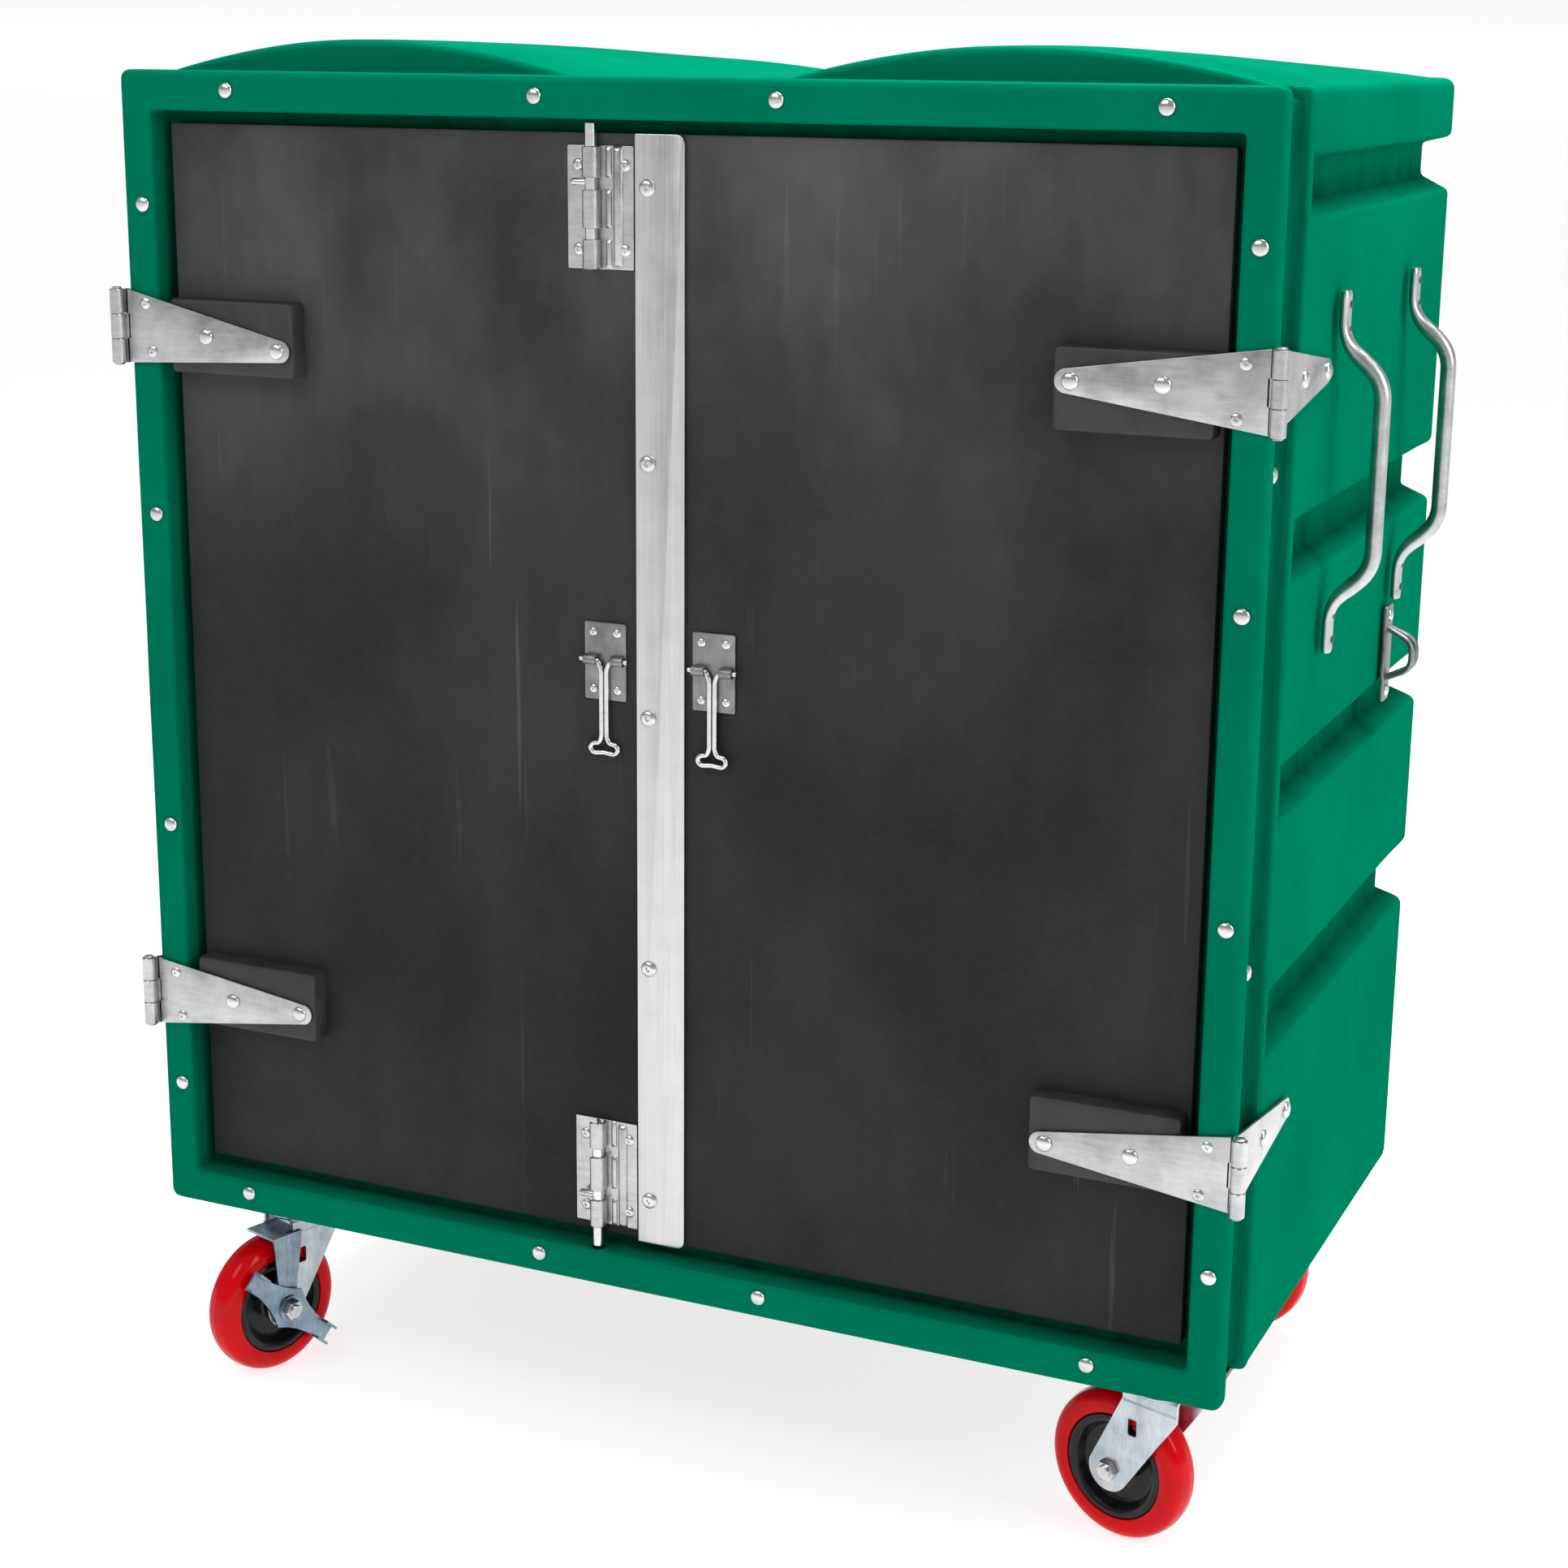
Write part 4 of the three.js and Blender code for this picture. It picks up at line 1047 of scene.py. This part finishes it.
def build_pull(side):
    node, door = side + "_pull_plate", side + "_door"
    low, high = extent(node)
    pivot = (joint_place(side + "_pull_hinge") - CORNER) / MM
    sheet = 1.6
    face = high.y - sheet
    half = (high.x - low.x) / 2
    outline = rounded_box(low.x, low.z, high.x, high.z, 1.5)
    parts = [placed(plate([outline], sheet, 0.35), facing((0, high.y - sheet / 2, 0), FRONT))]
    lie = Matrix.Rotation(math.pi / 2, 4, "Y")
    for x0, x1 in ((pivot.x - half + 1, pivot.x - 6.5), (pivot.x + 6.5, pivot.x + half - 1)):
        loop = turned([
            (2.5, x0), (4.0, x0), (4.2, x0 + 0.4), (4.2, x1 - 0.4), (4.0, x1), (2.5, x1), (2.5, x0),
        ], 20)
        parts.append(placed(loop, Matrix.Translation(spot(0, pivot.y, pivot.z)) @ lie))
    piece(side + "_pull_back", parts, DULL_ZINC, door, [node])
    right_half = [
        (half + 2.5, 0), (5.5, 0), (2.3, -7), (2.3, -62), (4.2, -67.2),
        (10.5, -68), (12.8, -72), (9.5, -76), (1, -75),
    ]
    route = right_half + [(-x, z) for x, z in reversed(right_half)]
    path = eased_path([(pivot.x + x, pivot.y, pivot.z + z) for x, z in route], 3.2, 1.2)
    wire = swept(path, lambda t: (2.1, 2.1))
    piece(side + "_pull_loop", [wire], BRIGHT, side + "_pull", [side + "_pull_wire"])
    seats = [((pivot.x + dx, face, z), FRONT) for dx in (-10.5, 10.5) for z in (high.z - 8, low.z + 8.5)]
    heads(side + "_pull_screws", door, seats, lambda: cross_head(3.6, 1.7))


def joint_place(name):
    return Vector(next(joint["pos_m"] for joint in frame["joints"] if joint["name"] == name))


# ---- Side hardware ----


def build_handle(node):
    """A bent tube whose two ends are pressed flat into screwed feet."""
    foot, lean, far = HANDLE["foot"], HANDLE["lean"], W + HANDLE["stand_off"]
    near, y = W + 4.6, middle(node).y
    high, low = HANDLE["top"], HANDLE["bottom"]
    route = [
        (near, y, high), (near, y, high - foot), (far, y, high - foot - lean),
        (far, y, low + foot + lean), (near, y, low + foot), (near, y, low),
    ]
    foot_width, foot_depth, tube = 7.9, 4.1, HANDLE["tube"]

    def section(t):
        u = min(t, 1 - t)
        share = min(1, max(0, (u - 0.10) / 0.08))
        share = share * share * (3 - 2 * share)
        end = 0.82 + 0.18 * min(1, u / 0.012) ** 0.5
        width = foot_width + (tube - foot_width) * share
        depth = foot_depth + (tube - foot_depth) * share
        return width * end, depth * end

    bar = swept(eased_path(route, 15, 2.5), section, sides=24)
    piece(node + "_tube", [bar], ZINC, "cabinet", [node])
    seats = [((W + 8.2, y, z), (1, 0, 0)) for z in (high - 10, high - 29, low + 10, low + 29)]
    heads(node + "_screws", "cabinet", seats, lambda: cross_head(3.2, 1.3), PAINTED_BLACK)


def build_staple():
    """A screwed plate with two bars that bow out from it."""
    low, high = extent("side_staple")
    y, z = middle("side_staple").y, middle("side_staple").z
    half = 12
    outline = rounded_box(y - half, low.z, y + half, high.z, 5)
    turn_side = Matrix(((0, 0, 1, 0), (1, 0, 0, 0), (0, 1, 0, 0), (0, 0, 0, 1)))
    back = placed(plate([outline], 3, 0.6), Matrix.Translation(spot(W + 1.9, 0, 0)) @ turn_side)
    near, far = W + 2, W + 25
    bars = []
    for dy in (-6, 6):
        route = [
            (near, y + dy * 0.4, z + 22), (far, y + dy * 1.3, z + 11),
            (far, y + dy * 1.3, z - 11), (near, y + dy * 0.4, z - 22),
        ]
        bars.append(swept(eased_path(route, 9, 1.6), lambda t: (3.2, 2.6), sides=14))
    piece("staple", [back, *bars], DULL_ZINC, "cabinet", ["side_staple"])
    seats = [((W + 3.4, y, z + dz), (1, 0, 0)) for dz in (-32, 32)]
    heads("staple_screws", "cabinet", seats, lambda: dome_head(5.2, 2.6, 0.4))


# ---- Casters ----

WHEEL = {"radius": 63.5, "half": 16, "core": 45, "trail": 37, "top": 158.7}


def caster_frame(name):
    """The place and heading of a caster: X along its trail, Z up, from the floor under its swivel."""
    swivel = joint_place(name + "_swivel")
    hub = joint_place(name + "_wheel_spin")
    heading = math.atan2(hub.y - swivel.y, hub.x - swivel.x)
    return Matrix.Translation((swivel.x, swivel.y, 0)) @ Matrix.Rotation(heading, 4, "Z")


def tyre_skin():
    core, radius, half = WHEEL["core"], WHEEL["radius"], WHEEL["half"]
    outer = [(core, -half + 1), (core + 3, -half + 0.2)]
    for k in range(13):
        a = math.pi / 2 * k / 12
        outer.append((radius - 14 + 13.2 * math.sin(a), -half + 11 * (1 - math.cos(a))))
    crown = [(radius - 0.25, -2.6), (radius, 0)]
    half_profile = outer + crown
    profile = half_profile + [(r, -z) for r, z in reversed(half_profile[:-1])]
    return turned([*profile, profile[0]], 72)


def core_skin():
    rim = WHEEL["core"] - 0.3
    half_profile = [
        (6.4, -17.6), (12.5, -17.6), (13.8, -16.6), (14.6, -8), (16.5, -6.2), (30, -5.2), (33, -6.4),
        (36.2, -12.4), (37.6, -14.2), (40, -15.2), (43, -15.0), (rim, -13.6),
    ]
    whole = half_profile + [(r, -z) for r, z in reversed(half_profile)]
    profile = eased([(r, z, 1.2) for r, z in whole], steps=3)
    return turned([*profile, profile[0]], 64)


def fork_meshes():
    """Two legs, the bend that joins them over the wheel, and the swivel race on top."""
    trail, hub = WHEEL["trail"], WHEEL["radius"]
    foot, sheet, leg_middle = 19, 3, 19.7
    nose = []
    for k in range(17):
        a = math.radians(212 + (372 - 212) * k / 16)
        nose.append((trail + foot * math.cos(a), hub + foot * math.sin(a)))
    front, back = -25, 26
    leg = [(front, 131), (front, 124), *nose, (back, 131)]
    slot = rounded_box(12, 100, 20, 114, 1.5, 3)
    meshes = []
    for y in (-leg_middle, leg_middle):
        meshes.append(placed(plate([leg, slot], sheet, 0.5), moved(0, y, 0) @ STAND_UP))
    arch = [(-21.2, 128, 0), (-21.2, 144.2, 8), (21.2, 144.2, 8), (21.2, 128, 0)]
    arch += [(18.2, 128, 0), (18.2, 141.2, 5.5), (-18.2, 141.2, 5.5), (-18.2, 128, 0)]
    meshes.append(skin([[Vector((x, y, z)) * MM for y, z in eased(arch, 5)] for x in (front, back)]))
    race = [(0, 141.5), (31, 141.5), (33, 144.2), (28.5, 147.4), (27, 148.6), (0, 148.6)]
    meshes.append(turned(eased([(r, z, 1.2 if r else 0) for r, z in race], steps=3), 48))
    return meshes


def build_caster(name):
    base = caster_frame(name)
    to_axle = base @ moved(WHEEL["trail"], 0, WHEEL["radius"]) @ STAND_UP
    wheel, swivel = name + "_wheel", name + "_swivel"
    piece(name + "_tread", [placed(tyre_skin(), to_axle)], RED, wheel, [name + "_tyre"])
    core = placed(core_skin(), to_axle)
    piece(name + "_hub", [core], CORE, wheel, [name + "_wheel_core"])
    forks = [placed(mesh, base) for mesh in fork_meshes()]
    piece(name + "_yoke", forks, BLUE_ZINC, swivel, [name + "_fork"])
    outer = 29.6 if name == "front_left" else 21.6
    axle = [
        turned([(0, -22.6), (5.8, -22.6), (5.8, outer + 7.4), (5.0, outer + 8), (0, outer + 8)], 20),
        placed(hex_nut(9.3, 5.2), moved(0, 0, -21.6) @ TURN_OVER),
        placed(hex_nut(9.3, 5.6), moved(0, 0, outer)),
    ]
    axle = [placed(mesh, to_axle @ TURN_OVER) for mesh in axle]
    piece(name + "_axle", axle, BRIGHT, swivel, [name + "_axle_bolt"])
    build_top_plate(name, base)


def build_top_plate(name, base):
    """The plate bolted under the cabinet, with its upper race and the ends of its bolts."""
    upright = Matrix.Translation(base.translation)
    top, sheet = WHEEL["top"], 3.2
    outline = rounded_box(-46, -30, 46, 30, 6)
    low, lip = top - 9.6, top - 3
    cup = [(8.6, low), (30, low), (31.5, top - 7), (29, lip), (8.6, lip), (8.6, low)]
    meshes = [placed(plate([outline], sheet, 0.5), moved(0, 0, top - sheet / 2)), turned(cup, 48)]
    meshes = [placed(mesh, upright) for mesh in meshes]
    piece(name + "_top_plate", meshes, ZINC, "cabinet", [name + "_caster_plate"])
    bolts = []
    for x in (-36.5, 36.5):
        for y in (-22.2, 22.2):
            seat = upright @ moved(x, y, top - sheet) @ TURN_OVER
            stub = turned([(0, 0), (3.9, 0), (3.9, 11.4), (3.2, 12), (0, 12)], 16)
            bolts += [placed(hex_nut(7.4, 6.4), seat), placed(stub, seat)]
    piece(name + "_plate_nuts", bolts, BRIGHT, "cabinet")


def build_all():
    build_cabinet()
    build_fastenings()
    build_doors()
    for side in ("left", "right"):
        for level in ("upper", "lower"):
            build_hinge(side, level)
        build_pull(side)
    for end in ("top", "bottom"):
        build_bolt(end)
    for name in HANDLES:
        build_handle(name)
    build_staple()
    for name in ("front_left", "front_right", "rear_left", "rear_right"):
        build_caster(name)
    for name, finish, ease in (
        ("brake_pedal", BLUED, 0.5), ("brake_arm", BLUED, 0.5), ("base_plate", PAINTED_BLACK, 0.8),
        ("door_frame_plate", PAINTED_BLACK, 0.5), ("upper_shelf", SHELF_BOARD, 1.2),
        ("lower_shelf", SHELF_BOARD, 1.2),
    ):
        dress_node(name, finish, ease)


build_all()
set_camera()
set_studio()
